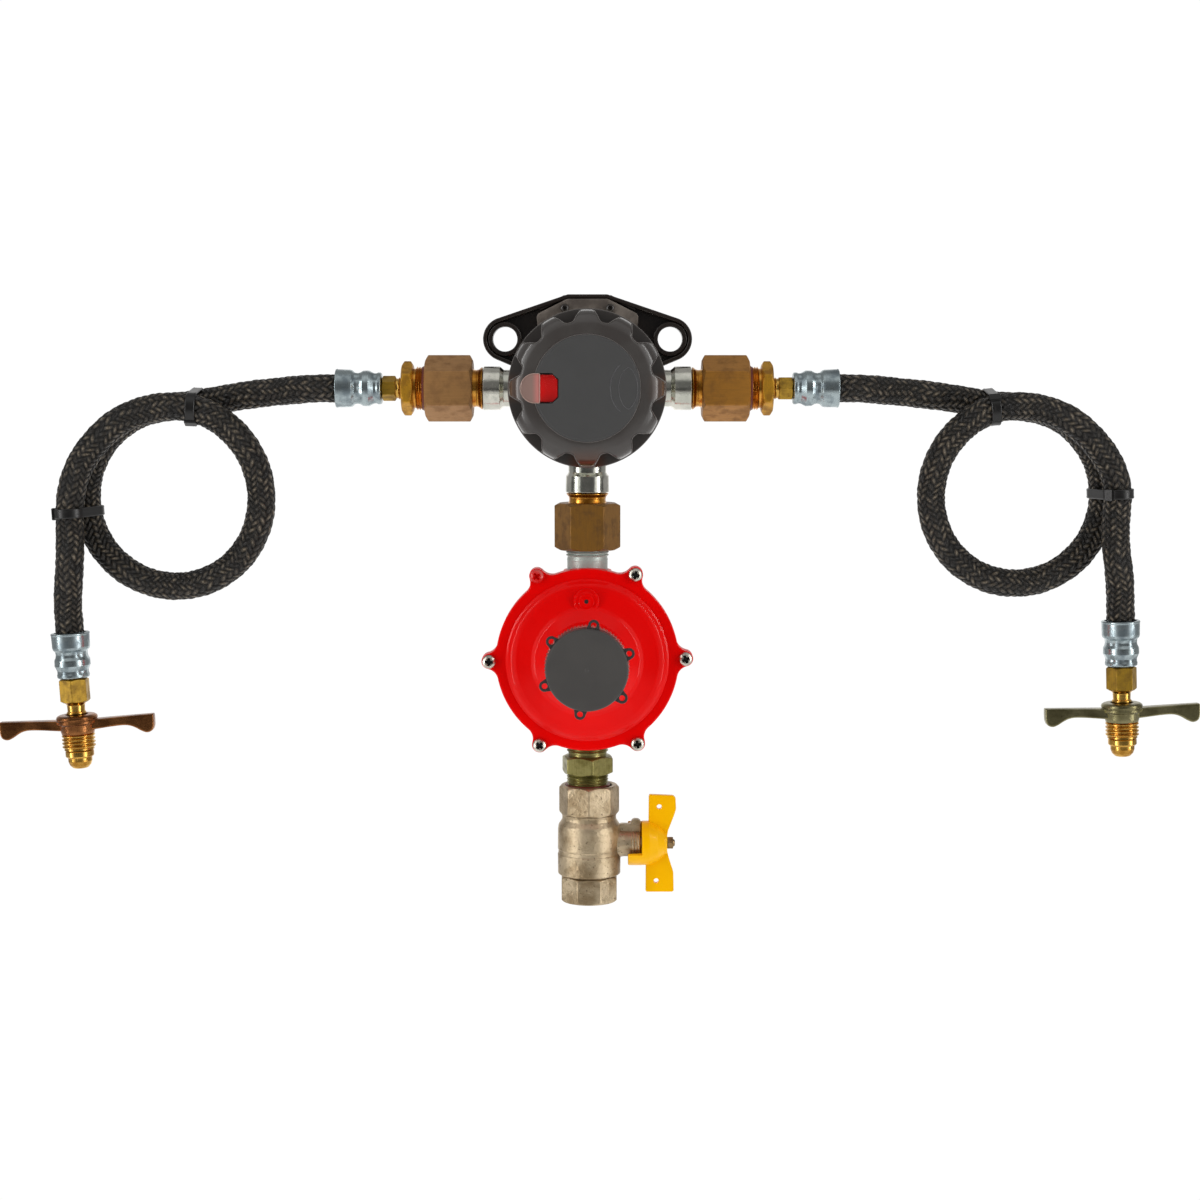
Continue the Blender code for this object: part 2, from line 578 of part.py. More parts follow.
def hose_route(side, word):
    """Route's own points: out of the ferrule, one and a quarter turns, then down."""
    mouth = side * (COLLAR_OUT + ADAPT_LEN + TAIL_OUT + 2.4 * GAP + FERRULE_LEN)
    if word == "left":
        cx, cz, r = -257.0, -98.2, 55.5
        lead = [(mouth, -36.0, AXIS_Z), (mouth - 9.0, -36.0, AXIS_Z),
                (-183.0, -33.2, -32.0), (-203.0, -30.4, -34.0), (-223.0, -28.4, -36.9),
                (-243.0, -27.6, -40.4)]
        end, tilt = LEFT_END, LEFT_TILT
        drop = [(-319.3, -44.6, -122.0), (-320.6, -43.6, -145.0)]
    else:
        cx, cz, r = 267.0, -97.2, 54.6
        lead = [(mouth, -36.0, AXIS_Z), (mouth + 9.0, -36.0, AXIS_Z),
                (185.0, -33.2, -32.2), (207.0, -30.4, -34.4), (229.0, -28.4, -37.4),
                (250.0, -27.6, -40.8)]
        end, tilt = RIGHT_END, RIGHT_TILT
        drop = [(325.9, -44.6, -122.0), (328.6, -43.6, -142.0)]

    def loop(angle, radius, depth):
        a = math.radians(angle)
        return (cx - side * radius * math.cos(a), depth, cz + radius * math.sin(a))
    # first pass, behind
    points = list(lead)
    for angle, grow, depth in ((112, 0.2, -27.2), (138, 0, -27.0), (162, 0, -27.0), (186, 0, -27.2),
                               (210, 0, -28.0), (235, 0, -29.4), (260, 0, -31.2), (285, 0, -33.4),
                               (310, 0, -36.0), (335, 0, -38.8), (360, 0.2, -41.4),
                               (385, 0.8, -43.6), (410, 1.4, -45.0)):
        points.append(loop(angle, r + grow, depth))
    # second pass, in front
    for angle, grow, depth in ((434, 1.6, -45.6), (456, 0.6, -45.8), (480, 0.6, -45.8),
                               (505, 1.4, -45.8), (530, 4.4, -45.6)):
        points.append(loop(angle, r + grow, depth))
    points += drop
    down = Vector((math.sin(tilt), 0, -math.cos(tilt)))
    for back in (14.0, 8.0, 1.4 * GAP):
        points.append(tuple(end - down * back))
    return points


def make_hose(name, points):
    curve = bpy.data.curves.new(name, "CURVE")
    curve.dimensions = "3D"
    curve.bevel_depth = HOSE_R * MM
    curve.bevel_resolution = 2
    curve.render_resolution_u = 0
    curve.use_fill_caps = True
    path = spline_through(points, 15.0)
    spline = curve.splines.new("POLY")
    spline.points.add(len(path) - 1)
    for p, co in zip(spline.points, path):
        p.co = (co.x * MM, co.y * MM, co.z * MM, 1.0)
    curve.materials.append(MATERIALS["hose_rubber"])
    ob = bpy.data.objects.new(name, curve)
    bpy.context.scene.collection.objects.link(ob)
    return ob


def nearest_on(points, target, low, high):
    """Point and heading of a route closest to a target, between two shares of its length."""
    path = spline_through(points, 1.0)
    best = None
    for i in range(int(len(path) * low) + 1, int(len(path) * high) - 1):
        d = (path[i] - target).length
        if best is None or d < best[0]:
            best = (d, path[i], (path[i + 1] - path[i - 1]).normalized())
    return best[1], best[2]


def make_tie(name, points, target, head_side):
    """Band round the two passes of a hose, with its head on the front pass's outer side."""
    a, ha = nearest_on(points, target, 0.05, 0.5)
    b, hb = nearest_on(points, target, 0.6, 0.98)
    along = (ha + hb).normalized() if ha.dot(hb) > 0 else (ha - hb).normalized()
    across = b - a
    across = (across - along * across.dot(along))
    span = across.length
    across.normalize()
    side = along.cross(across)
    centre = a + across * (span / 2)
    inner, thick, half = HOSE_R + 1.5, 1.2, 3.3
    outline = []
    steps = 7
    for k in range(steps):
        t = math.radians(-90 + 180 * k / (steps - 1))
        outline.append((span / 2 + inner * math.cos(t), inner * math.sin(t)))
    for k in range(steps):
        t = math.radians(90 + 180 * k / (steps - 1))
        outline.append((-span / 2 + inner * math.cos(t), inner * math.sin(t)))
    bm = bmesh.new()
    rings = []
    n = len(outline)
    for layer, w in (("in", -half), ("in", half), ("out", half), ("out", -half)):
        ring = []
        for i, (u, v) in enumerate(outline):
            p0, p1 = Vector(outline[i - 1]), Vector(outline[(i + 1) % n])
            tangent = (p1 - p0).normalized()
            normal = Vector((tangent.y, -tangent.x))
            off = thick if layer == "out" else 0.0
            # head: the band's outer side bulges over two points beside the front pass
            if layer == "out" and i in ((0, n - 1) if head_side < 0 else (steps - 1, steps)):
                off = 5.0
            q = Vector((u, v)) + normal * off
            ring.append(bm.verts.new(centre + across * q.x + side * q.y + along * w))
        rings.append(ring)
    for k in range(4):
        p, q = rings[k], rings[(k + 1) % 4]
        for i in range(n):
            j = (i + 1) % n
            bm.faces.new((p[i], p[j], q[j], q[i]))
    return finish(name, bm, "nylon_black")


def make_connector(word, end, tilt, wing_mat):
    """Ferrule, spigot and wing screw along a tilted axis that starts at the mouth."""
    down = (math.sin(tilt), 0.0, -math.cos(tilt))
    xdir = (math.cos(tilt), 0.0, math.sin(tilt))
    ferrule("end_ferrule_" + word, end, down, xdir)
    hexagon = polygon_radius(6, 9.6)
    low = polygon_radius(6, 9.6, 8.8)
    rings = [(1.5, 2.5), (1.5, 4.3), (SPIGOT_HEX[0], 4.3), (SPIGOT_HEX[0], low),
             (SPIGOT_HEX[0] + 1.0, hexagon), (SPIGOT_HEX[1] - 1.0, hexagon), (SPIGOT_HEX[1], low),
             (SPIGOT_HEX[1], 6.35), (73.8, 6.35), (73.8, 8.6), (77.6, 8.6), (78.2, 7.3),
             (81.8, 7.2), (NOSE_END - 0.8, 5.6), (NOSE_END, 4.6), (NOSE_END, 2.5)]
    turned("cylinder_spigot_" + word, rings, 12, "tail_brass", frame(end, down, xdir), closed=True)
    h0, h1 = WING_HUB
    hub = turned("wing_screw_" + word,
                 [(h0, 7.1), (h0, 10.8), (h0 + 1.6, 12.5), (h1 - 1.2, 12.5), (h1, 11.4),
                  (h1, 10.0), (WING_THREAD - 0.8, 10.0), (WING_THREAD, 9.2), (WING_THREAD, 7.1)],
                 16, wing_mat, frame(end, down, xdir), closed=True)
    wings = []
    for s in (-1, 1):
        # bar from the hub to a drooping rounded lobe, outline in the wing's own plane
        outline = [(s * 9.0, 4.4), (s * 20.0, 4.0), (s * 36.0, 3.0), (s * 44.0, 2.2),
                   (s * 47.6, 4.2), (s * WING_SPAN, 8.2), (s * 47.2, 12.2), (s * 43.5, 13.4),
                   (s * 40.0, 11.6), (s * 36.5, 9.2), (s * 20.0, 9.6), (s * 9.0, 10.6)]
        if s < 0:
            outline.reverse()
        bm = bmesh.new()
        prism(bm, [(x, h0 + z - 1.0) for x, z in outline], -4.6, 4.6)
        wings.append(finish("wing", bm, wing_mat, frame(end, down, xdir)))
    # the outline lies in the local X-Z plane, so no further turn is needed
    join(hub, *wings)
    cut(hub, cylinder("bore", tuple(Vector(end) + Vector(down) * 45.0), down, 7.1, 35.0, 16,
                      xdir=xdir))
    tidy(hub)


def make_pigtails():
    for side, word, end, tilt, mat in ((-1, "left", LEFT_END, LEFT_TILT, "wing_bronze"),
                                       (1, "right", RIGHT_END, RIGHT_TILT, "wing_olive")):
        points = hose_route(side, word)
        make_hose("hose_" + word, points)
        if word == "left":
            top, flank = Vector((-242.0, -36.0, -41.5)), Vector((-315.5, -36.0, -106.8))
        else:
            top, flank = Vector((249.5, -36.0, -41.8)), Vector((323.0, -36.0, -95.5))
        make_tie("tie_%s_top" % word, points, top, -1)
        make_tie("tie_%s_side" % word, points, flank, 1)
        make_connector(word, end, tilt, mat)


# ---------------------------------------------------------------- second stage
def ear_outline(r, ear_r, pitch):
    """Round flange with six screw ears, counter-clockwise seen along -Y."""
    pts = []
    for k in range(6):
        a = EAR_PHASE + k * math.pi / 3
        ca, sa = math.cos(a), math.sin(a)
        for d in (-90, -45, 0, 45, 90):
            b = a + math.radians(d)
            pts.append((pitch * ca + ear_r * math.cos(b), pitch * sa + ear_r * math.sin(b)))
        for share in (0.22, 0.36, 0.5, 0.64, 0.78):
            b = a + share * math.pi / 3
            pts.append((r * math.cos(b), r * math.sin(b)))
    return [(x, z + DISC_Z) for x, z in pts]


def ear_angles():
    return [EAR_PHASE + k * math.pi / 3 for k in range(6)]


def make_second_stage():
    axis = frame((0, 0, DISC_Z), (0, -1, 0), (1, 0, 0))
    # rear casting: flange, bowl and the two port bosses in line with the outlet
    body = prism_object("second_stage_body", ear_outline(FLANGE_R, EAR_R, EAR_PITCH_R),
                        BODY2_FLANGE, BODY2_FRONT, "red_paint")
    bowl = turned("bowl", [(18.0, 0), (18.0, 26.0), (22.0, 35.0), (36.0, 45.0), (45.5, 50.0),
                           (46.0, 0)], 24, "red_paint", axis)
    boss_top = cylinder("boss", (0, PIPE_Y, DISC_Z + 54.5), (0, 0, -1), 14.9, 30.0, 12,
                        "red_paint", xdir=(1, 0, 0))
    boss_low = cylinder("boss", (0, PIPE_Y, DISC_Z - 53.0), (0, 0, 1), 14.9, 30.0, 12,
                        "red_paint", xdir=(1, 0, 0))
    join(body, bowl, boss_top, boss_low, solver="MANIFOLD")
    cuts = [turned("hollow", [(60.0, 0), (60.0, 44.0), (45.5, 43.4), (44.0, 34.5),
                              (26.0, 33.0), (26.0, 0)], 24, "red_paint", axis),
            turned("inlet", [(4.0, 13.1), (-12.5, 13.1), (-13.5, 5.5), (-17.5, 5.0),
                             (-18.0, 2.6), (-30.0, 2.6)], 12, "red_paint",
                   frame((0, PIPE_Y, DISC_Z + 55.0), (0, 0, 1), (1, 0, 0))),
            turned("outlet", [(-6.0, 13.2), (13.5, 13.2), (14.5, 8.0), (30.0, 8.0)], 12,
                   "red_paint", frame((0, PIPE_Y, DISC_Z - 53.5), (0, 0, 1), (1, 0, 0)))]
    for a in ear_angles():
        x, z = EAR_PITCH_R * math.cos(a), DISC_Z + EAR_PITCH_R * math.sin(a)
        cuts.append(cylinder("hole", (x, -40.0, z), (0, -1, 0), 2.3, 15.0, 8))
    cut(body, *cuts, solver="MANIFOLD")
    tidy(body)

    cover = prism_object("second_stage_cover", ear_outline(FLANGE_R, EAR_R, EAR_PITCH_R),
                         COVER_BACK, COVER_FRONT, "red_paint")
    cut(cover, cylinder("middle", (0, -50.0, DISC_Z), (0, -1, 0), 45.4, 10.0, 24, xdir=(1, 0, 0)))
    dome = turned("dome", [(53.6, 49.5), (57.6, 49.0), (61.3, 46.0), (64.6, 32.5),
                           (71.0, BELL_R), (94.7, 24.3), (94.7, 19.1), (67.4, 19.1),
                           (61.4, 30.0), (57.9, 43.7), (53.6, 44.6)], 24, "red_paint", axis,
                  closed=True)
    vent = turned("vent", [(61.4, 0), (61.4, 7.9), (64.8, 7.8), (65.8, 6.6), (65.2, 4.2),
                           (65.2, 0)],
                  12, "red_paint", frame((-0.5, 0, DISC_Z + 36.9), (0, -1, 0), (1, 0, 0)))
    join(cover, dome, vent, solver="MANIFOLD")
    cuts = [cylinder("vent_hole", (-0.5, -55.0, DISC_Z + 36.9), (0, -1, 0), 1.4, 14.0, 8)]
    for a in ear_angles():
        x, z = EAR_PITCH_R * math.cos(a), DISC_Z + EAR_PITCH_R * math.sin(a)
        cuts.append(cylinder("hole", (x, -50.0, z), (0, -1, 0), 2.3, 10.0, 8))
    cut(cover, *cuts, solver="MANIFOLD")
    tidy(cover)
    for k, a in enumerate(ear_angles()):
        x, z = EAR_PITCH_R * math.cos(a), DISC_Z + EAR_PITCH_R * math.sin(a)
        pan_screw("cover_screw_%d" % (k + 1), (x, COVER_FRONT - GAP, z), (0, -1, 0), 4.2, 3.0,
                  1.9, 15.0, 10, "screw_nickel")

    turned("second_stage_diaphragm", [(51.3, 52.0), (52.3, 52.0), (52.3, 4.6), (51.3, 4.6)], 24,
           "diaphragm_rubber", axis, closed=True)
    # plates, and a rear stem whose two collars hold the lever's tip
    turned("second_stage_plate", [(54.0, 0), (54.0, 22.0), (52.6, 22.0), (52.6, 4.0), (51.0, 4.0),
                                  (51.0, 30.0), (49.6, 30.0), (49.0, 4.5), (46.0, 4.5),
                                  (46.0, 2.3), (41.4, 2.3), (41.4, 4.5), (40.0, 4.5), (40.0, 0)],
           16, "plate_steel", axis)
    make_spring("second_stage_spring", axis, 54.4, 84.6, 11.5, 1.3, 4.5, 9)
    turned("adjusting_screw", [(85.0, 0), (85.0, 18.4), (91.0, 18.4), (91.0, 5.5), (88.0, 5.0),
                               (88.0, 0)], 24, "tail_brass", axis)
    # bell-crank lever in a plane beside the stem; the poppet stands on its short arm
    lever = [(-30.0, -178.6), (-28.4, -180.0), (-30.0, -181.8), (-41.2, -191.0),
             (-42.9, DISC_Z), (-44.5, DISC_Z), (-44.3, -190.6), (-35.0, -181.6), (-38.5, -181.0),
             (-38.5, -178.6)]
    bm = bmesh.new()
    prism(bm, lever, 2.8, 5.0, plane="YZ")
    ob = finish("pressure_lever", bm, "plate_steel")
    toe = box_object("toe", (-2.2, -37.6, -180.4), (4.0, -33.8, -178.6), "plate_steel")
    join(ob, toe)
    tidy(ob)
    turned("orifice_poppet", [(0.0, 0), (0.0, 4.0), (-2.5, 4.0), (-3.0, 2.4), (-13.0, 2.4),
                              (-13.0, 0)], 12, "tail_brass",
           frame((0, PIPE_Y, -165.3), (0, 0, 1), (1, 0, 0)))
    make_cap(axis)
    turned("second_stage_inlet", [(-118.0, 13.0), (-136.6, THREAD_R), (-137.2, 12.65),
                                  (-153.0, 12.6), (-153.0, 6.2), (-118.0, 6.2)], 12, "grey_steel",
           frame((0, PIPE_Y, 0), (0, 0, 1), (1, 0, 0)), closed=True)


def make_cap(axis):
    """Round cap with a plug that enters the bell, a knurled edge and six sealing eyelets."""
    cap = turned("spring_cap", [(91.5, 15.5), (91.5, 18.3), (95.0, 18.3), (95.0, CAP_R),
                                (106.3, CAP_R), (107.0, 24.0), (107.0, 0), (104.0, 0),
                                (104.0, 15.5)], 24, "cap_plastic", axis, closed=True)
    lugs, holes = [], []
    for k in range(6):
        a = LUG_PHASE + k * math.pi / 3
        ca, sa = math.cos(a), math.sin(a)
        pts = []
        for r, d in ((CAP_R - 2.5, -10.5), (CAP_R + 0.6, -9.5)):
            b = a + math.radians(d)
            pts.append((r * math.cos(b), r * math.sin(b)))
        for d in (-60, -20, 20, 60):
            b = a + math.radians(d)
            pts.append((LUG_PITCH_R * ca + LUG_R * math.cos(b),
                        LUG_PITCH_R * sa + LUG_R * math.sin(b)))
        for r, d in ((CAP_R + 0.6, 9.5), (CAP_R - 2.5, 10.5)):
            b = a + math.radians(d)
            pts.append((r * math.cos(b), r * math.sin(b)))
        lugs.append(prism_object("lug", [(x, z + DISC_Z) for x, z in pts], -103.0, -105.2,
                                 "cap_plastic"))
        holes.append(cylinder("eye", (LUG_PITCH_R * ca, -100.0, DISC_Z + LUG_PITCH_R * sa),
                              (0, -1, 0), 1.5, 9.0, 8))
    join(cap, *lugs)
    cut(cap, *holes)
    return tidy(cap)


# ---------------------------------------------------------------- outlet valve
def make_outlet():
    hexagon = polygon_radius(6, 16.8)
    low = polygon_radius(6, 16.8, 15.2)
    turned("outlet_nipple", [(-238.0, 12.7), (-257.6, 12.8), (-258.2, 12.0), (-259.6, 12.0),
                             (-259.6, low), (-260.8, hexagon), (-269.8, hexagon), (-271.0, low),
                             (-271.0, 12.2), (-271.8, 12.9), (-291.0, 12.7), (-291.0, 8.5),
                             (-238.0, 8.5)], 12, "yellow_zinc",
           frame((0, PIPE_Y, 0), (0, 0, 1), (1, 0, 0)), closed=True)
    make_valve()


def make_valve():
    top = polygon_radius(8, 18.3)
    top_low = polygon_radius(8, 18.3, 17.0)
    axis = frame((VALVE_X, PIPE_Y, 0), (0, 0, 1), (1, 0, 0))
    body = turned("valve_body", [(-278.2, 14.4), (-278.2, top_low), (-279.2, top),
                                 (-296.0, top), (-297.2, 17.0), (-299.8, 17.0), (-303.0, 19.2),
                                 (-318.5, 19.4), (-321.6, 19.6),
                                 (-334.8, 19.4), (-334.8, 14.3), (-301.4, 14.3), (-300.4, 9.0),
                                 (-294.0, 9.0), (-293.0, 14.4)],
                  16, "sand_nickel", axis, closed=True)
    boss = cylinder("boss", (VALVE_X + 15.5, PIPE_Y, STEM_Z), (1, 0, 0), 8.4, 33.4 - 15.5 - 1.3,
                    16, "sand_nickel")
    ear = box_object("ear", (20.5, PIPE_Y - 3.0, STEM_Z + 6.0), (33.0, PIPE_Y + 3.0, STEM_Z + 13.6),
                     "sand_nickel")
    join(body, boss, ear)
    cut(body, cylinder("stem_hole", (VALVE_X + 10.0, PIPE_Y, STEM_Z), (1, 0, 0), 4.5, 40.0, 12))
    tidy(body)
    low8 = polygon_radius(8, 18.4)
    low8c = polygon_radius(8, 18.4, 17.2)
    turned("valve_end", [(-329.3, 9.5), (-329.3, 13.6), (-335.1, 13.6), (-335.1, low8c),
                         (-336.0, low8), (-350.8, low8), (-352.0, low8c), (-352.0, 13.2),
                         (-339.0, 13.2), (-338.0, 9.5)],
           16, "sand_nickel", frame((VALVE_X, PIPE_Y, 0), (0, 0, 1),
                                    (math.cos(math.radians(22.5)), math.sin(math.radians(22.5)), 0)),
           closed=True)
    # ball with its flow bore along Z and a slot for the stem's tang
    r, bore = 13.4, 9.0
    edge = math.sqrt(r * r - bore * bore)
    rings = []
    for k in range(9):
        a = math.asin(edge / r) * (1 - 2 * k / 8)
        rings.append((STEM_Z + r * math.sin(a), r * math.cos(a)))
    rings += [(STEM_Z - edge, bore), (STEM_Z + edge, bore)]
    rings[0] = (STEM_Z + edge, bore + 0.25)
    rings[8] = (STEM_Z - edge, bore + 0.25)
    ball = turned("valve_ball", rings, 16, "ball_chrome", axis, closed=True)
    cut(ball, box_object("slot", (VALVE_X + 10.6, PIPE_Y - 6.0, STEM_Z - 1.8),
                         (VALVE_X + 15.0, PIPE_Y + 6.0, STEM_Z + 1.8)))
    tidy(ball)
    along = frame((VALVE_X, PIPE_Y, STEM_Z), (1, 0, 0), (0, 0, 1))
    stem = turned("valve_stem", [(13.5, 0), (13.5, 4.0), (48.4, 4.0), (48.4, 1.9), (52.0, 1.9),
                                 (52.0, 0)], 12, "plate_steel", along)
    join(stem, box_object("tang", (VALVE_X + 11.2, PIPE_Y - 3.4, STEM_Z - 1.4),
                          (VALVE_X + 13.9, PIPE_Y + 3.4, STEM_Z + 1.4)))
    tidy(stem)
    turned("handle_nut", [(49.0, 2.3), (49.0, 4.2), (52.4, 4.2), (52.9, 3.4), (52.9, 2.3)], 12,
           "screw_nickel", along, closed=True)
    make_handle()


def make_handle():
    """Butterfly handle: cup over the boss, two flat wings and a stop skirt."""
    along = frame((0, PIPE_Y, STEM_Z), (1, 0, 0), (0, 0, 1))
    ob = turned("valve_handle", [(33.9, 0), (33.9, 13.9), (39.0, 13.9), (44.0, 11.6), (48.4, 7.4),
                                 (50.0, 6.6), (50.0, 0)], 24, "handle_yellow", along)
    up = [(38.2, 6.0), (38.4, 30.0), (39.0, 31.0), (53.6, 30.4), (55.2, 29.0), (55.6, 22.0),
          (54.6, 18.4), (50.6, 8.0), (49.6, 2.0), (40.0, 2.0)]
    down = [(36.6, -8.0), (40.0, -2.0), (49.4, -2.0), (50.8, -8.4), (54.0, -18.6), (54.2, -30.2),
            (53.4, -31.0), (37.2, -31.0), (36.5, -30.4)]
    parts = []
    for outline in (list(reversed(up)), list(reversed(down))):
        bm = bmesh.new()
        prism(bm, outline, -2.0, 2.0, at=(0.0, 0.0))
        parts.append(finish("wing", bm, "handle_yellow",
                            Matrix.Translation(Vector((0, PIPE_Y, STEM_Z)) * MM)))
    # skirt: a sector of a ring that turns between the two sides of the boss's ear
    inner, outer = 9.0, 13.7
    first, last = 113.0, 336.0       # degrees from straight up, turning by the front
    steps = 15
    bm = bmesh.new()
    loops = []
    for x in (25.4, 34.8):
        ring = []
        for r in (inner, outer):
            for k in range(steps):
                a = math.radians(first + (last - first) * k / (steps - 1))
                ring.append(bm.verts.new((x, PIPE_Y - r * math.sin(a), STEM_Z + r * math.cos(a))))
        loops.append(ring)
    a, b = loops
    for k in range(steps - 1):
        bm.faces.new((a[k], a[k + 1], b[k + 1], b[k]))
        bm.faces.new((a[steps + k], a[steps + k + 1], b[steps + k + 1], b[steps + k]))
        bm.faces.new((a[k], a[k + 1], a[steps + k + 1], a[steps + k]))
        bm.faces.new((b[k], b[k + 1], b[steps + k + 1], b[steps + k]))
    for k in (0, steps - 1):
        bm.faces.new((a[k], b[k], b[steps + k], a[steps + k]))
    parts.append(finish("skirt", bm, "handle_yellow"))
    join(ob, *parts)
    cut(ob, cylinder("bore", (30.0, PIPE_Y, STEM_Z), (1, 0, 0), 4.5, 30.0, 12),
        cylinder("eye", (45.0, PIPE_Y + 6.0, STEM_Z + 23.3), (0, -1, 0), 1.6, 12.0, 8),
        cylinder("eye", (43.2, PIPE_Y + 6.0, STEM_Z - 23.9), (0, -1, 0), 1.6, 12.0, 8))
    return tidy(ob)


def main():
    clear_scene()
    make_materials()
    make_bracket()
    make_first_stage()
    make_inlets()
    make_pigtails()
    make_second_stage()
    make_outlet()


main()
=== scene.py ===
import math
import bpy
import bmesh
import numpy as np
from mathutils import Matrix, Vector


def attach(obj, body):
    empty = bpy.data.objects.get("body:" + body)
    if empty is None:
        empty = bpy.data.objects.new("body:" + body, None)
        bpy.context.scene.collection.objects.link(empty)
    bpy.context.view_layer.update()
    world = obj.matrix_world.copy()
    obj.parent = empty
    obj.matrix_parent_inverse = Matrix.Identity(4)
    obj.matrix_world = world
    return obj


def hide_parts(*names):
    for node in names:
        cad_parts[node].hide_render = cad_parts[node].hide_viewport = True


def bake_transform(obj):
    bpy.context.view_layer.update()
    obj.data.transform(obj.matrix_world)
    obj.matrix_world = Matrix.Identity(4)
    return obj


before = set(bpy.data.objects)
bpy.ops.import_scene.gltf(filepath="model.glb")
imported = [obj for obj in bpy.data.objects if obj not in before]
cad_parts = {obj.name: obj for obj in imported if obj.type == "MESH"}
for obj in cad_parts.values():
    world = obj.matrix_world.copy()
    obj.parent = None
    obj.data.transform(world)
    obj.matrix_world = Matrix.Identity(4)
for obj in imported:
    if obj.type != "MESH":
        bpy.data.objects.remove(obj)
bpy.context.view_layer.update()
scene = bpy.context.scene

MM = 0.001
GAP = 0.3
AXIS_Z, PIPE_Y, DISC_Z, VALVE_X, STEM_Z = -30.8, -36.0, -197.2, 1.0, -315.5
HOSE_R, FERRULE_LEN = 8.5, 28.3
COLLAR_OUT, ADAPT_LEN, TAIL_OUT = 64.2, 35.8, 26.4
LEFT_END, LEFT_TILT = Vector((-321.3, -42.0, -181.7)), math.radians(3.35)
RIGHT_END, RIGHT_TILT = Vector((330.9, -42.0, -174.2)), math.radians(2.1)

# ------------------------------------------------------------------ camera
cam_data = bpy.data.cameras.new("camera")
cam = bpy.data.objects.new("camera", cam_data)
scene.collection.objects.link(cam)
cam.location = (0.0078, -1.400, -0.0318)
cam.rotation_euler = (math.radians(90.0 - 5.4526), 0.0, 0.0)
cam_data.sensor_width = 36.0
cam_data.sensor_fit = "HORIZONTAL"
cam_data.lens = 66.0
cam_data.clip_start, cam_data.clip_end = 0.05, 60.0
scene.camera = cam
scene.view_settings.view_transform = "Standard"
scene.view_settings.look = "None"

# ------------------------------------------------------------------ light
world = bpy.data.worlds.new("studio")
scene.world = world
world.use_nodes = True
wt = world.node_tree
wt.nodes.clear()


def wn(kind, **kw):
    node = wt.nodes.new(kind)
    for key, value in kw.items():
        setattr(node, key, value)
    return node


def wmath(op, a, b=None, c=None, clamp=False):
    node = wn("ShaderNodeMath", operation=op, use_clamp=clamp)
    for i, v in enumerate((a, b, c)):
        if v is None:
            continue
        if isinstance(v, (int, float)):
            node.inputs[i].default_value = v
        else:
            wt.links.new(v, node.inputs[i])
    return node.outputs[0]


def wstep(v, lo, hi):
    node = wn("ShaderNodeMapRange", interpolation_type="SMOOTHSTEP")
    wt.links.new(v, node.inputs["Value"])
    node.inputs["From Min"].default_value = lo
    node.inputs["From Max"].default_value = hi
    return node.outputs["Result"]


w_sep = wn("ShaderNodeSeparateXYZ")
wt.links.new(wn("ShaderNodeTexCoord").outputs["Generated"], w_sep.inputs[0])
wx, wy, wz = w_sep.outputs[0], w_sep.outputs[1], w_sep.outputs[2]
front = wmath("SUBTRACT", 1.0, wstep(wy, -0.10, 0.12))
azim = wmath("DIVIDE", wmath("ABSOLUTE", wx), wmath("MAXIMUM", wmath("MULTIPLY", wy, -1.0), 0.02))
side_box = wmath("MULTIPLY", wmath("ADD", wmath("MULTIPLY", wstep(azim, 0.75, 1.0), 0.12), wmath("MULTIPLY", wstep(azim, 1.62, 1.75), 0.86)),
                 wmath("SUBTRACT", 1.0, wstep(azim, 2.25, 2.45)))
side_box = wmath("MULTIPLY", side_box, wmath("MULTIPLY", wstep(wz, -0.45, -0.30), wmath("SUBTRACT", 1.0, wstep(wz, 0.55, 0.75))))
side_box = wmath("MULTIPLY", side_box, front)
sky = wmath("ADD", wmath("MULTIPLY", wstep(wz, -0.06, 0.10), 0.10), 0.06)
glow = wmath("MULTIPLY", wstep(wmath("MULTIPLY", wz, -1.0), 0.15, 0.38), 0.56)
sky = wmath("ADD", sky, glow)
sky = wmath("ADD", sky, wmath("MULTIPLY", wstep(wz, 0.55, 0.85), 0.55))
back = wmath("ADD", wmath("MULTIPLY", wstep(wy, 0.70, 0.93), 0.65), 0.30)
back = wmath("ADD", back, wmath("MULTIPLY", glow, 0.7))
back = wmath("MULTIPLY", wmath("SUBTRACT", 1.0, front), back)
light = wmath("ADD", wmath("MULTIPLY", sky, front), back)
light = wmath("ADD", light, wmath("MULTIPLY", side_box, 8.6))
light = wmath("MULTIPLY", light, 1.12)
w_path = wn("ShaderNodeLightPath").outputs["Is Camera Ray"]
w_mix = wn("ShaderNodeMixShader")
w_white, w_soft, w_out = wn("ShaderNodeBackground"), wn("ShaderNodeBackground"), wn("ShaderNodeOutputWorld")
w_white.inputs["Color"].default_value = (1.0, 1.0, 1.0, 1.0)
w_white.inputs["Strength"].default_value = 1.02
w_soft.inputs["Color"].default_value = (1.0, 0.99, 0.98, 1.0)
wt.links.new(light, w_soft.inputs["Strength"])
wt.links.new(w_path, w_mix.inputs[0])
wt.links.new(w_soft.outputs[0], w_mix.inputs[1])
wt.links.new(w_white.outputs[0], w_mix.inputs[2])
wt.links.new(w_mix.outputs[0], w_out.inputs[0])


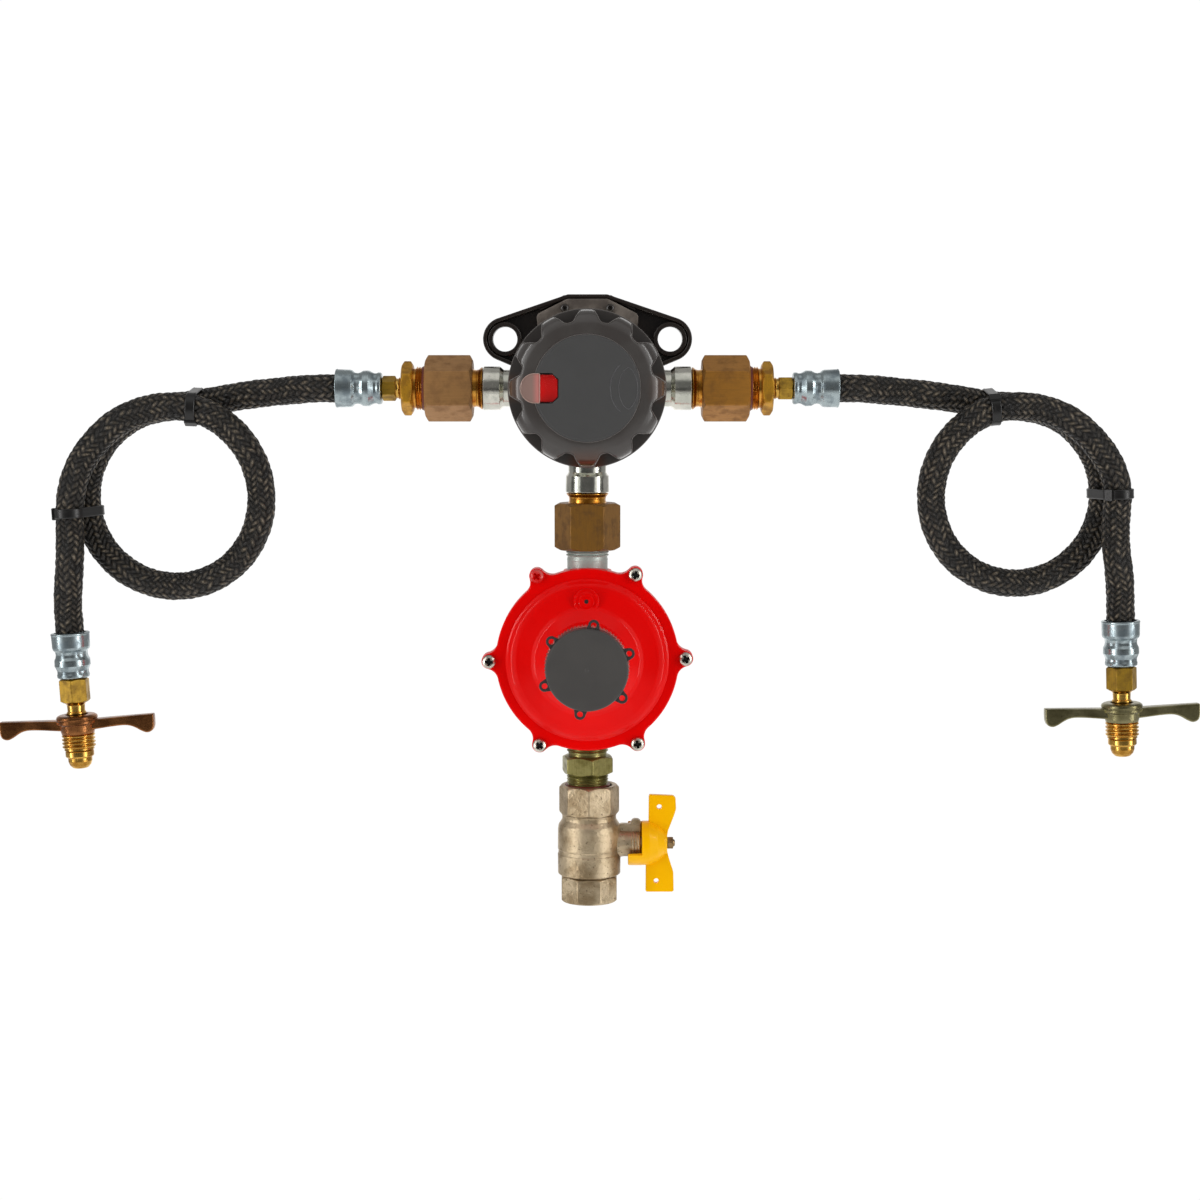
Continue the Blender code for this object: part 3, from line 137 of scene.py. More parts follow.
# ------------------------------------------------------------------ materials
class Mat:
    """One procedural material: a principled shader with what drives it."""

    def __init__(self, name, coords="Object"):
        self.m = bpy.data.materials.new(name)
        self.m.use_nodes = True
        self.t = self.m.node_tree
        self.b = self.t.nodes["Principled BSDF"]
        self.tc = self.t.nodes.new("ShaderNodeTexCoord")
        self.co = self.tc.outputs[coords]
        self.normal = None

    def link(self, value, socket):
        if isinstance(value, (int, float)):
            socket.default_value = value
        elif isinstance(value, tuple):
            socket.default_value = (*value, 1.0) if len(value) == 3 and len(socket.default_value) == 4 else value
        else:
            self.t.links.new(value, socket)

    def stretch(self, scale, rot=(0, 0, 0)):
        node = self.t.nodes.new("ShaderNodeMapping")
        node.inputs["Scale"].default_value = scale
        node.inputs["Rotation"].default_value = rot
        self.t.links.new(self.co, node.inputs[0])
        return node.outputs[0]

    def noise(self, scale, detail=4.0, rough=0.55, at=None, distort=0.0):
        node = self.t.nodes.new("ShaderNodeTexNoise")
        node.inputs["Scale"].default_value = scale
        node.inputs["Detail"].default_value = detail
        node.inputs["Roughness"].default_value = rough
        node.inputs["Distortion"].default_value = distort
        self.t.links.new(self.co if at is None else at, node.inputs["Vector"])
        return node.outputs[0]

    def cells(self, scale, at=None, feature="F1"):
        node = self.t.nodes.new("ShaderNodeTexVoronoi")
        node.feature = feature
        node.inputs["Scale"].default_value = scale
        self.t.links.new(self.co if at is None else at, node.inputs["Vector"])
        return node.outputs["Distance"]

    def math(self, op, a, b=None, c=None, clamp=False):
        node = self.t.nodes.new("ShaderNodeMath")
        node.operation = op
        node.use_clamp = clamp
        for i, v in enumerate((a, b, c)):
            if v is not None:
                self.link(v, node.inputs[i])
        return node.outputs[0]

    def span(self, v, lo, hi, a=0.0, b=1.0):
        node = self.t.nodes.new("ShaderNodeMapRange")
        node.interpolation_type = "SMOOTHSTEP"
        self.link(v, node.inputs["Value"])
        for key, value in (("From Min", lo), ("From Max", hi), ("To Min", a), ("To Max", b)):
            node.inputs[key].default_value = value
        return node.outputs["Result"]

    def xyz(self, v=None):
        node = self.t.nodes.new("ShaderNodeSeparateXYZ")
        self.t.links.new(self.co if v is None else v, node.inputs[0])
        return node.outputs

    def facing(self):
        node = self.t.nodes.new("ShaderNodeNewGeometry")
        return self.xyz(node.outputs["Normal"])

    def ramp(self, v, *stops):
        node = self.t.nodes.new("ShaderNodeValToRGB")
        els = node.color_ramp.elements
        while len(els) < len(stops):
            els.new(0.5)
        for el, (pos, colour) in zip(els, stops):
            el.position = pos
            el.color = (*colour, 1.0) if isinstance(colour, tuple) else (colour, colour, colour, 1.0)
        self.t.links.new(v, node.inputs[0])
        return node.outputs[0]

    def mix(self, f, a, b, blend="MIX"):
        node = self.t.nodes.new("ShaderNodeMix")
        node.data_type = "RGBA"
        node.blend_type = blend
        self.link(f, node.inputs[0])
        self.link(a, node.inputs[6])
        self.link(b, node.inputs[7])
        return node.outputs[2]

    def bump(self, height, strength=0.5, distance=0.1):
        """distance is in millimetres"""
        node = self.t.nodes.new("ShaderNodeBump")
        node.inputs["Strength"].default_value = strength
        node.inputs["Distance"].default_value = distance * MM
        self.t.links.new(height, node.inputs["Height"])
        if self.normal is not None:
            self.t.links.new(self.normal, node.inputs["Normal"])
        self.normal = node.outputs[0]

    def done(self, base, rough, metal=0.0, coat=None, **more):
        self.link(base, self.b.inputs["Base Color"])
        self.link(rough, self.b.inputs["Roughness"])
        self.b.inputs["Metallic"].default_value = metal
        if coat is not None:
            self.b.inputs["Coat Weight"].default_value = coat[0]
            self.b.inputs["Coat Roughness"].default_value = coat[1]
        for key, value in more.items():
            self.link(value, self.b.inputs[key.replace("_", " ")])
        if self.normal is not None:
            self.t.links.new(self.normal, self.b.inputs["Normal"])
        return self.m


def srgb(r, g, b):
    """Linear colour of an sRGB triple out of 255."""
    return tuple(c / 12.92 if c <= 0.04045 else ((c + 0.055) / 1.055) ** 2.4
                 for c in (r / 255.0, g / 255.0, b / 255.0))


# ------------------------------------------------------------------ floor
floor_mesh = bpy.data.meshes.new("floor")
fb = bmesh.new()
bmesh.ops.create_circle(fb, cap_ends=True, segments=96, radius=3.4)
fb.to_mesh(floor_mesh)
fb.free()
floor = bpy.data.objects.new("floor", floor_mesh)
floor.location = (0.0, 0.0, -1.95)
scene.collection.objects.link(floor)
fm = Mat("floor_white")
fm.b.inputs["Emission Color"].default_value = (1.0, 0.99, 0.98, 1.0)
fm.b.inputs["Emission Strength"].default_value = 0.42
floor_mesh.materials.append(fm.done((0.85, 0.85, 0.85), 0.9))


# ------------------------------------------------------------------ mesh kit
def place(origin, zdir, xdir):
    """Local Z along zdir and local X near xdir, origin in millimetres."""
    z = Vector(zdir).normalized()
    x = Vector(xdir)
    x = (x - z * x.dot(z)).normalized()
    rot = Matrix((x, z.cross(x), z)).transposed().to_4x4()
    return Matrix.Translation(Vector(origin) * MM) @ rot


FACE_ON = place((0, 0, AXIS_Z), (0, -1, 0), (1, 0, 0))      # first-stage axis, towards the front
DISC_ON = place((0, 0, DISC_Z), (0, -1, 0), (1, 0, 0))      # second-stage axis, towards the front


def put(name, verts, faces, mat, body="regulator", at=None, nodes=(), sharp=38.0,
        weighted=True, bevel=0.0, merge=True):
    """verts in millimetres in the frame `at`; adds the object, its finish and what it rides on."""
    mesh = bpy.data.meshes.new(name)
    verts = np.asarray(verts, float) * MM
    if isinstance(faces, np.ndarray):
        mesh.vertices.add(len(verts))
        mesh.vertices.foreach_set("co", verts.ravel())
        k = faces.shape[1]
        mesh.loops.add(faces.size)
        mesh.loops.foreach_set("vertex_index", faces.ravel().astype(np.int32))
        mesh.polygons.add(len(faces))
        mesh.polygons.foreach_set("loop_start", np.arange(0, faces.size, k, dtype=np.int32))
        mesh.update(calc_edges=True)
    else:
        mesh.from_pydata([tuple(v) for v in verts], [], faces)
    bm = bmesh.new()
    bm.from_mesh(mesh)
    if merge:
        bmesh.ops.remove_doubles(bm, verts=bm.verts, dist=1e-6)
        bmesh.ops.dissolve_degenerate(bm, edges=bm.edges, dist=1e-7)
    bmesh.ops.recalc_face_normals(bm, faces=bm.faces)
    bm.to_mesh(mesh)
    bm.free()
    return settle(name, mesh, mat, body, at, nodes, sharp, weighted, bevel)


def settle(name, mesh, mat, body, at, nodes, sharp, weighted, bevel):
    mesh.materials.clear()
    mesh.materials.append(mat)
    mesh.shade_smooth()
    ob = bpy.data.objects.new(name, mesh)
    scene.collection.objects.link(ob)
    if at is not None:
        ob.matrix_world = at
    if bevel:
        mod = ob.modifiers.new("edge", "BEVEL")
        mod.width = bevel * MM
        mod.segments = 3
        mod.limit_method = "ANGLE"
        mod.angle_limit = math.radians(sharp)
        mod.harden_normals = False
        mod.use_clamp_overlap = True
    else:
        mesh.set_sharp_from_angle(angle=math.radians(sharp))
    if weighted:
        mod = ob.modifiers.new("normals", "WEIGHTED_NORMAL")
        mod.keep_sharp = True
        mod.weight = 60
    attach(ob, body)
    if nodes:
        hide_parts(*nodes)
    return ob


def fillet(profile, default=0.3, seg=4, closed=False):
    """Rounds the corners of a profile of (h, r) or (h, r, radius)."""
    out = []
    n = len(profile)
    for i, p in enumerate(profile):
        b = Vector(p[:2])
        f = p[2] if len(p) > 2 else default
        if (not closed and i in (0, n - 1)) or f <= 0:
            out.append(tuple(b))
            continue
        u, v = Vector(profile[i - 1][:2]) - b, Vector(profile[(i + 1) % n][:2]) - b
        lu, lv = u.length, v.length
        if lu < 1e-6 or lv < 1e-6:
            out.append(tuple(b))
            continue
        u, v = u / lu, v / lv
        ang = u.angle(v)
        if ang > math.radians(175) or ang < math.radians(4):
            out.append(tuple(b))
            continue
        t = min(f / math.tan(ang / 2), lu * 0.48, lv * 0.48)
        rr = t * math.tan(ang / 2)
        c = b + (u + v).normalized() * (rr / math.sin(ang / 2))
        s, e = b + u * t - c, b + v * t - c
        a0, a1 = math.atan2(s.y, s.x), math.atan2(e.y, e.x)
        d = (a1 - a0 + math.pi) % (2 * math.pi) - math.pi
        for k in range(seg + 1):
            a = a0 + d * k / seg
            out.append((c.x + rr * math.cos(a), c.y + rr * math.sin(a)))
    return out


def poly_r(a, sides, big, q=0.6):
    """Radius of a polygon with rounded corners, at angles a measured from a corner."""
    s = 2 * math.pi / sides
    t = (np.asarray(a) + s / 2) % s - s / 2
    flat = big * math.cos(s / 2) / np.cos(s / 2 - np.abs(t))
    c = big - q / math.cos(s / 2)
    arc = c * np.cos(t) + np.sqrt(np.maximum(q * q - (c * np.sin(t)) ** 2, 0))
    tt = math.atan2(q * math.sin(s / 2), c + q * math.cos(s / 2))
    return np.where(np.abs(t) < tt, arc, flat)


def ring_angles(sides=0, phase=0.0, big=20.0, q=0.6, base=120):
    a = np.linspace(0, 2 * math.pi, base, endpoint=False)
    if sides:
        s = 2 * math.pi / sides
        c = big - q / math.cos(s / 2)
        tt = math.atan2(q * math.sin(s / 2), c + q * math.cos(s / 2))
        extra = [phase + k * s + tt * f for k in range(sides) for f in (-1.02, -0.5, 0.0, 0.5, 1.02)]
        extra = np.array(extra) % (2 * math.pi)
        keep = [x for x in a if np.min(np.abs((extra - x + math.pi) % (2 * math.pi) - math.pi)) > tt * 0.3]
        a = np.sort(np.concatenate([keep, extra]))
    return a


def nut(h0, h1, big, ang, sides=6, phase=0.0, q=0.6, face=0.965, slope=0.5, soft=0.3, top=True, bottom=True):
    """Rings of a polygon bar with cone-turned ends."""
    rp = poly_r(ang - phase, sides, big, q)
    rf = big * math.cos(math.pi / sides) * face
    d = np.maximum(rp - rf, 0) * slope
    one = np.ones_like(ang)
    rings = []

    def end(h, way):
        e = np.minimum(soft, np.maximum(d, 0.02) * 0.5 + 0.05)
        f = np.clip(e / np.maximum(np.hypot(d, rp - rf), 1e-6), 0, 0.6)
        return [(h * one, rf * 0.97 * one),
                (h * one + way * 0.02, rf * one),
                (h + way * d * (1 - f), rf + (rp - rf) * (1 - f)),
                (h + way * (d + e * 0.12), rp - e * 0.10),
                (h + way * (d + e), rp)]
    rings += end(h0, 1) if bottom else [(h0 * one, rp)]
    rings += list(reversed(end(h1, -1))) if top else [(h1 * one, rp)]
    return rings


def stack(parts, ang, closed=False, default=0.3):
    """Parts: lists of (h, r[, fillet]) points and ready rings from nut()."""
    rings = []
    one = np.ones_like(ang)
    for part in parts:
        if isinstance(part[0][0], np.ndarray):
            rings += part
        else:
            rings += [(h * one, r * one) for h, r in fillet(part, default)]
    return rings


def grid_faces(rows, cols, close_rows=False, close_cols=True):
    i = np.arange(rows if close_rows else rows - 1)
    j = np.arange(cols if close_cols else cols - 1)
    ii, jj = np.meshgrid(i, j, indexing="ij")
    a = ii * cols + jj
    b = ii * cols + (jj + 1) % cols
    c = ((ii + 1) % rows) * cols + (jj + 1) % cols
    d = ((ii + 1) % rows) * cols + jj
    return np.stack([a, b, c, d], -1).reshape(-1, 4)


def lathe(name, rings, ang, mat, at, body="regulator", nodes=(), closed=False, sharp=38.0, bevel=0.0,
          shape=None):
    h = np.array([r[0] for r in rings])
    r = np.array([r[1] for r in rings])
    x, y, z = r * np.cos(ang), r * np.sin(ang), h
    if shape is not None:
        x, y, z = shape(x, y, z)
    verts = np.stack([x, y, z], -1).reshape(-1, 3)
    faces = grid_faces(len(rings), len(ang), close_rows=closed)
    return put(name, verts, faces, mat, body, at, nodes, sharp, bevel=bevel)


def slab(outline, levels, centre=None):
    """Rings of an outline at levels [(z, grow)], for lofted plates. Outline is an array of (x, y)."""
    pts = np.asarray(outline, float)
    nxt, prv = np.roll(pts, -1, 0), np.roll(pts, 1, 0)
    e1, e0 = nxt - pts, pts - prv
    n1 = np.stack([e1[:, 1], -e1[:, 0]], -1) / np.maximum(np.linalg.norm(e1, axis=1, keepdims=True), 1e-9)
    n0 = np.stack([e0[:, 1], -e0[:, 0]], -1) / np.maximum(np.linalg.norm(e0, axis=1, keepdims=True), 1e-9)
    nn = n0 + n1
    nn /= np.maximum(np.linalg.norm(nn, axis=1, keepdims=True), 1e-9)
    cosh = np.maximum((nn * n1).sum(1, keepdims=True), 0.5)
    area = 0.5 * np.sum(pts[:, 0] * nxt[:, 1] - nxt[:, 0] * pts[:, 1])
    sign = 1.0 if area > 0 else -1.0
    return [np.concatenate([pts + nn / cosh * grow * sign, np.full((len(pts), 1), z)], 1) for z, grow in levels]


def plate(name, outline, levels, mat, at, body="regulator", nodes=(), sharp=38.0, holes=()):
    """Solid lofted from the outline through the levels; caps are flat polygons."""
    rings = slab(outline, levels)
    n = len(outline)
    verts = np.concatenate(rings)
    faces = [tuple(int(x) for x in f) for f in grid_faces(len(rings), n)]
    faces.append(tuple(range(n - 1, -1, -1)))
    faces.append(tuple((len(rings) - 1) * n + k for k in range(n)))
    return put(name, verts, faces, mat, body, at, nodes, sharp, merge=False)


def cut(ob, *cutters):
    """Takes the cutters out of ob, then removes them."""
    for c in cutters:
        mod = ob.modifiers.new("cut", "BOOLEAN")
        mod.operation = "DIFFERENCE"
        mod.solver = "EXACT"
        mod.object = c
        dg = bpy.context.evaluated_depsgraph_get()
        dg.update()
        new = bpy.data.meshes.new_from_object(ob.evaluated_get(dg))
        mats = list(ob.data.materials)
        ob.modifiers.remove(mod)
        ob.data = new
        new.materials.clear()
        for m in mats:
            new.materials.append(m)
        bpy.data.objects.remove(c, do_unlink=True)
    return ob


# ------------------------------------------------------------------ finishes
def brass(name, light, dark, drawn=True, rough=0.26, grime=0.5, lines=1.0, flat_tint=None, metal=1.0):
    """Turned or drawn brass: long fine lines along the bar, blotches of oxide, darker low spots."""
    m = Mat(name)
    blot = m.noise(140.0, 5.0, 0.6)
    fine = m.noise(900.0, 3.0, 0.6)
    long_ = m.noise(1.0, 4.0, 0.65, at=m.stretch((1500.0, 1500.0, 60.0) if drawn else (90.0, 90.0, 2600.0)))
    f = m.span(blot, 0.40, 0.68)
    colour = m.mix(f, light, dark)
    streak = m.span(long_, 0.42, 0.66)
    colour = m.mix(m.math("MULTIPLY", streak, 0.40 * lines), colour, tuple(c * 0.42 for c in dark))
    speck = m.span(fine, 0.60, 0.72)
    colour = m.mix(m.math("MULTIPLY", speck, grime), colour, tuple(c * 0.35 for c in dark))
    if flat_tint is not None:
        colour = m.mix(0.35, colour, flat_tint, "OVERLAY")
    r = m.math("ADD", m.math("MULTIPLY", f, 0.16), m.math("ADD", m.math("MULTIPLY", streak, 0.10 * lines), rough))
    m.bump(long_, 0.25 * lines, 0.05)
    m.bump(fine, 0.12, 0.03)
    return m.done(colour, r, metal)


def casting(name, light, dark, grain=900.0, depth=0.10, rough=0.34, coarse=0.5, metal=1.0):
    """Die-cast or sand-cast metal: fine grain over slow waviness, stains in the low places."""
    m = Mat(name)
    slow = m.noise(70.0, 4.0, 0.55)
    gr = m.noise(grain, 4.0, 0.65)
    pit = m.cells(grain * 0.6)
    colour = m.mix(m.span(slow, 0.36, 0.66), light, dark)
    colour = m.mix(m.math("MULTIPLY", m.span(gr, 0.56, 0.72), coarse), colour, tuple(c * 0.45 for c in dark))
    r = m.math("ADD", m.math("MULTIPLY", gr, 0.22), rough - 0.10)
    m.bump(slow, 0.35, 0.5)
    m.bump(gr, 0.55, depth)
    m.bump(m.span(pit, 0.0, 0.28), 0.12, depth)
    return m.done(colour, r, metal)


def plastic(name, base, rough, grain=1200.0, depth=0.03, tint=None, coat=None, slow=0.25, tint_spec=(1.0, 1.0, 1.0)):
    m = Mat(name)
    gr = m.noise(grain, 3.0, 0.6)
    wide = m.noise(45.0, 3.0, 0.5)
    low = tint if tint is not None else tuple(c * 0.7 for c in base)
    colour = m.mix(m.math("MULTIPLY", m.span(wide, 0.35, 0.7), slow * 2.0), base, low)
    scuff = m.span(m.noise(1.0, 3.0, 0.7, at=m.stretch((300.0, 90.0, 420.0))), 0.62, 0.74)
    colour = m.mix(m.math("MULTIPLY", scuff, 0.10), colour, tuple(min(1.0, c * 1.6 + 0.02) for c in base))
    r = m.math("ADD", m.math("MULTIPLY", gr, 0.10), m.math("ADD", m.math("MULTIPLY", scuff, 0.10), rough))
    m.bump(wide, 0.10, 0.3)
    m.bump(gr, 0.25, depth)
    return m.done(colour, r, 0.0, coat, Specular_Tint=tint_spec)


def smoky():
    """Smoke-grey moulding with a warm glow painted in at both sides and below, standing in for the brass behind showing
    through.
    """
    m = Mat("smoky_moulding")
    gr, wide = m.noise(1500.0, 3.0, 0.6), m.noise(45.0, 3.0, 0.5)
    x, y, z = m.xyz()
    colour = m.mix(m.span(wide, 0.35, 0.7), srgb(67, 64, 62), srgb(60, 56, 54))
    # painted glow: warm brown mixed in at both sides and below, for light from the brass behind
    side = m.math("MULTIPLY", m.span(m.math("ABSOLUTE", x), 0.034, 0.046), m.math("SUBTRACT", 1.0, m.span(m.math("ABSOLUTE", y), 0.004, 0.011)))
    below = m.math("MULTIPLY", m.span(m.math("MULTIPLY", y, -1.0), 0.033, 0.045), m.math("SUBTRACT", 1.0, m.span(m.math("ABSOLUTE", x), 0.006, 0.014)))
    colour = m.mix(m.math("MULTIPLY", side, 0.55), colour, srgb(92, 68, 54))
    colour = m.mix(m.math("MULTIPLY", below, 0.8), colour, srgb(78, 46, 28))
    m.bump(wide, 0.08, 0.25)
    return m.done(colour, m.math("ADD", m.math("MULTIPLY", gr, 0.08), 0.17), 0.0)


M = {}
M["bracket_plastic"] = plastic("black_moulding", srgb(30, 24, 21), 0.28, 1500.0, 0.03, srgb(42, 33, 28))
M["knob_plastic"] = smoky()
# light grey for the fine lines along the knob's edges: painted edge highlights
M["knob_edge"] = plastic("smoky_edge_highlight", srgb(104, 99, 96), 0.3, 1500.0, 0.01, srgb(90, 85, 82))
M["lens_edge"] = plastic("lens_edge", srgb(178, 150, 140), 0.2, 1500.0, 0.01, srgb(160, 134, 124), (0.3, 0.1))
M["label_mark"] = plastic("label_relief", srgb(90, 90, 92), 0.4, 1500.0, 0.01, srgb(80, 80, 82))
M["lug_plastic"] = plastic("dark_grey_lug", srgb(50, 46, 46), 0.4, 1500.0, 0.02, srgb(42, 38, 38))
M["label"] = plastic("matte_label", srgb(62, 62, 62), 0.50, 2200.0, 0.02, srgb(58, 58, 58))
M["red_flag"] = plastic("red_flag_plastic", srgb(252, 6, 12), 0.45, 1300.0, 0.02, srgb(240, 4, 8), tint_spec=(1.0, 0.1, 0.1))
M["nylon_black"] = plastic("black_nylon", srgb(10, 9, 9), 0.30, 900.0, 0.04, srgb(16, 15, 14))
M["cap_plastic"] = plastic("grey_cap", srgb(65, 63, 61), 0.46, 1500.0, 0.03, srgb(57, 55, 54))
M["handle_yellow"] = plastic("yellow_coat", srgb(255, 190, 0), 0.34, 520.0, 0.05, srgb(248, 180, 0), (0.12, 0.15), 0.2, (1.0, 0.6, 0.05))
M["red_paint"] = plastic("red_enamel", srgb(232, 0, 0), 0.42, 300.0, 0.004, srgb(222, 0, 0), (0.18, 0.04), 0.3, (1.0, 0.06, 0.05))
M["red_edge"] = plastic("red_flange_enamel", srgb(228, 0, 0), 0.42, 300.0, 0.004, srgb(218, 0, 0), (0.20, 0.05), 0.3, (1.0, 0.06, 0.05))
# pink for the bell's teeth: a painted highlight on the red enamel
M["bell_rib"] = plastic("enamel_rib_highlight", srgb(206, 96, 90), 0.36, 300.0, 0.01, srgb(150, 60, 56), (0.2, 0.06), 0.5)
M["diaphragm_rubber"] = plastic("fabric_rubber", srgb(30, 30, 31), 0.62, 700.0, 0.08)
M["red_screw"] = plastic("painted_screw", srgb(214, 12, 12), 0.28, 500.0, 0.05, srgb(186, 120, 118), (0.3, 0.1), 0.3, (1.0, 0.3, 0.3))

M["zinc_casting"] = casting("zinc_casting", srgb(218, 216, 206), srgb(184, 186, 176), 190.0, 0.20, 0.17, 0.30)
# darker grey-brown zinc for the mounting tab: painted shade; the grain and speckle are the casting's own
M["tab_zinc"] = casting("zinc_painted_shade", srgb(134, 125, 117), srgb(98, 90, 84), 800.0, 0.05, 0.42, 0.4, 0.5)
M["sand_nickel"] = casting("sand_cast_nickel", srgb(194, 176, 146), srgb(146, 126, 96), 460.0, 0.75, 0.40, 0.9, 0.8)
M["wing_bronze"] = casting("bronze_casting", srgb(154, 102, 60), srgb(100, 62, 36), 900.0, 0.10, 0.28, 0.5)
M["wing_olive"] = casting("olive_casting", srgb(140, 134, 100), srgb(104, 98, 68), 900.0, 0.12, 0.30, 0.5)
M["grey_steel"] = casting("zinc_plate_grey", srgb(186, 196, 190), srgb(164, 174, 168), 1100.0, 0.04, 0.40, 0.25, 0.35)
M["screw_nickel"] = brass("nickel_screw", srgb(206, 202, 190), srgb(158, 152, 142), False, 0.24, 0.4, 0.6)
M["ferrule_zinc"] = brass("blue_zinc", srgb(171, 184, 187), srgb(125, 137, 143), False, 0.24, 0.3, 0.3)
M["yellow_zinc"] = brass("yellow_chromate", srgb(150, 143, 88), srgb(100, 92, 44), True, 0.28, 0.5, 0.7, metal=0.8)
M["old_brass"] = brass("oxidised_brass", srgb(166, 122, 72), srgb(142, 102, 58), True, 0.42, 0.25, 0.45, metal=0.35)
M["olive_brass"] = brass("worn_brass", srgb(170, 116, 42), srgb(140, 94, 32), True, 0.38, 0.3, 0.5, metal=0.4)
M["dark_brass"] = brass("darkened_brass", srgb(138, 96, 34), srgb(108, 74, 26), True, 0.38, 0.4, 0.6, metal=0.45)
M["bright_brass"] = brass("bright_brass", srgb(220, 160, 70), srgb(170, 108, 34), False, 0.18, 0.35, 0.6)
M["gold_thread"] = brass("gold_thread", srgb(216, 172, 86), srgb(166, 118, 46), False, 0.20, 0.3, 0.5)
M["tail_brass"] = brass("olive_bar", srgb(178, 140, 42), srgb(134, 102, 28), True, 0.32, 0.5, 0.6, metal=0.6)
M["bush_brass"] = brass("bushing_brass", srgb(204, 150, 40), srgb(156, 110, 28), False, 0.34, 0.6, 0.5, metal=0.6)
M["plate_steel"] = brass("plate_steel", srgb(190, 190, 190), srgb(160, 160, 160), False, 0.30, 0.3, 0.6)
M["spring_steel"] = brass("spring_steel", srgb(178, 178, 182), srgb(140, 140, 146), False, 0.26, 0.3, 0.5)
M["ball_chrome"] = brass("hard_chrome", srgb(225, 225, 225), srgb(205, 205, 205), False, 0.08, 0.1, 0.2)
M["handle_nut"] = brass("bright_nut", srgb(150, 124, 88), srgb(64, 50, 34), False, 0.22, 0.6, 0.8)
M["sealant"] = plastic("thread_sealant", srgb(104, 40, 26), 0.4, 900.0, 0.12, srgb(84, 28, 18))
M["dark_hole"] = plastic("shadowed_bore", srgb(22, 18, 16), 0.6, 900.0, 0.05)

# clear lens with a warm tint: milky on the knob's slope, clear over the label
lens = Mat("clear_lens")
lens_n = lens.noise(60.0, 3.0, 0.5)
lens_x = lens.span(lens.xyz()[0], -0.0284, -0.0276)
lens_e = lens.span(lens.xyz()[0], -0.0330, -0.0290)
lens.bump(lens_n, 0.08, 0.3)
lens_c = lens.mix(lens_e, srgb(150, 124, 116), srgb(196, 128, 122))
M["window"] = lens.done(lens_c, lens.math("ADD", lens.math("MULTIPLY", lens_n, 0.06), 0.08), 0.0, IOR=1.3)
lens.link(lens.math("SUBTRACT", 0.78, lens.math("MULTIPLY", lens_x, 0.75)), lens.b.inputs["Alpha"])


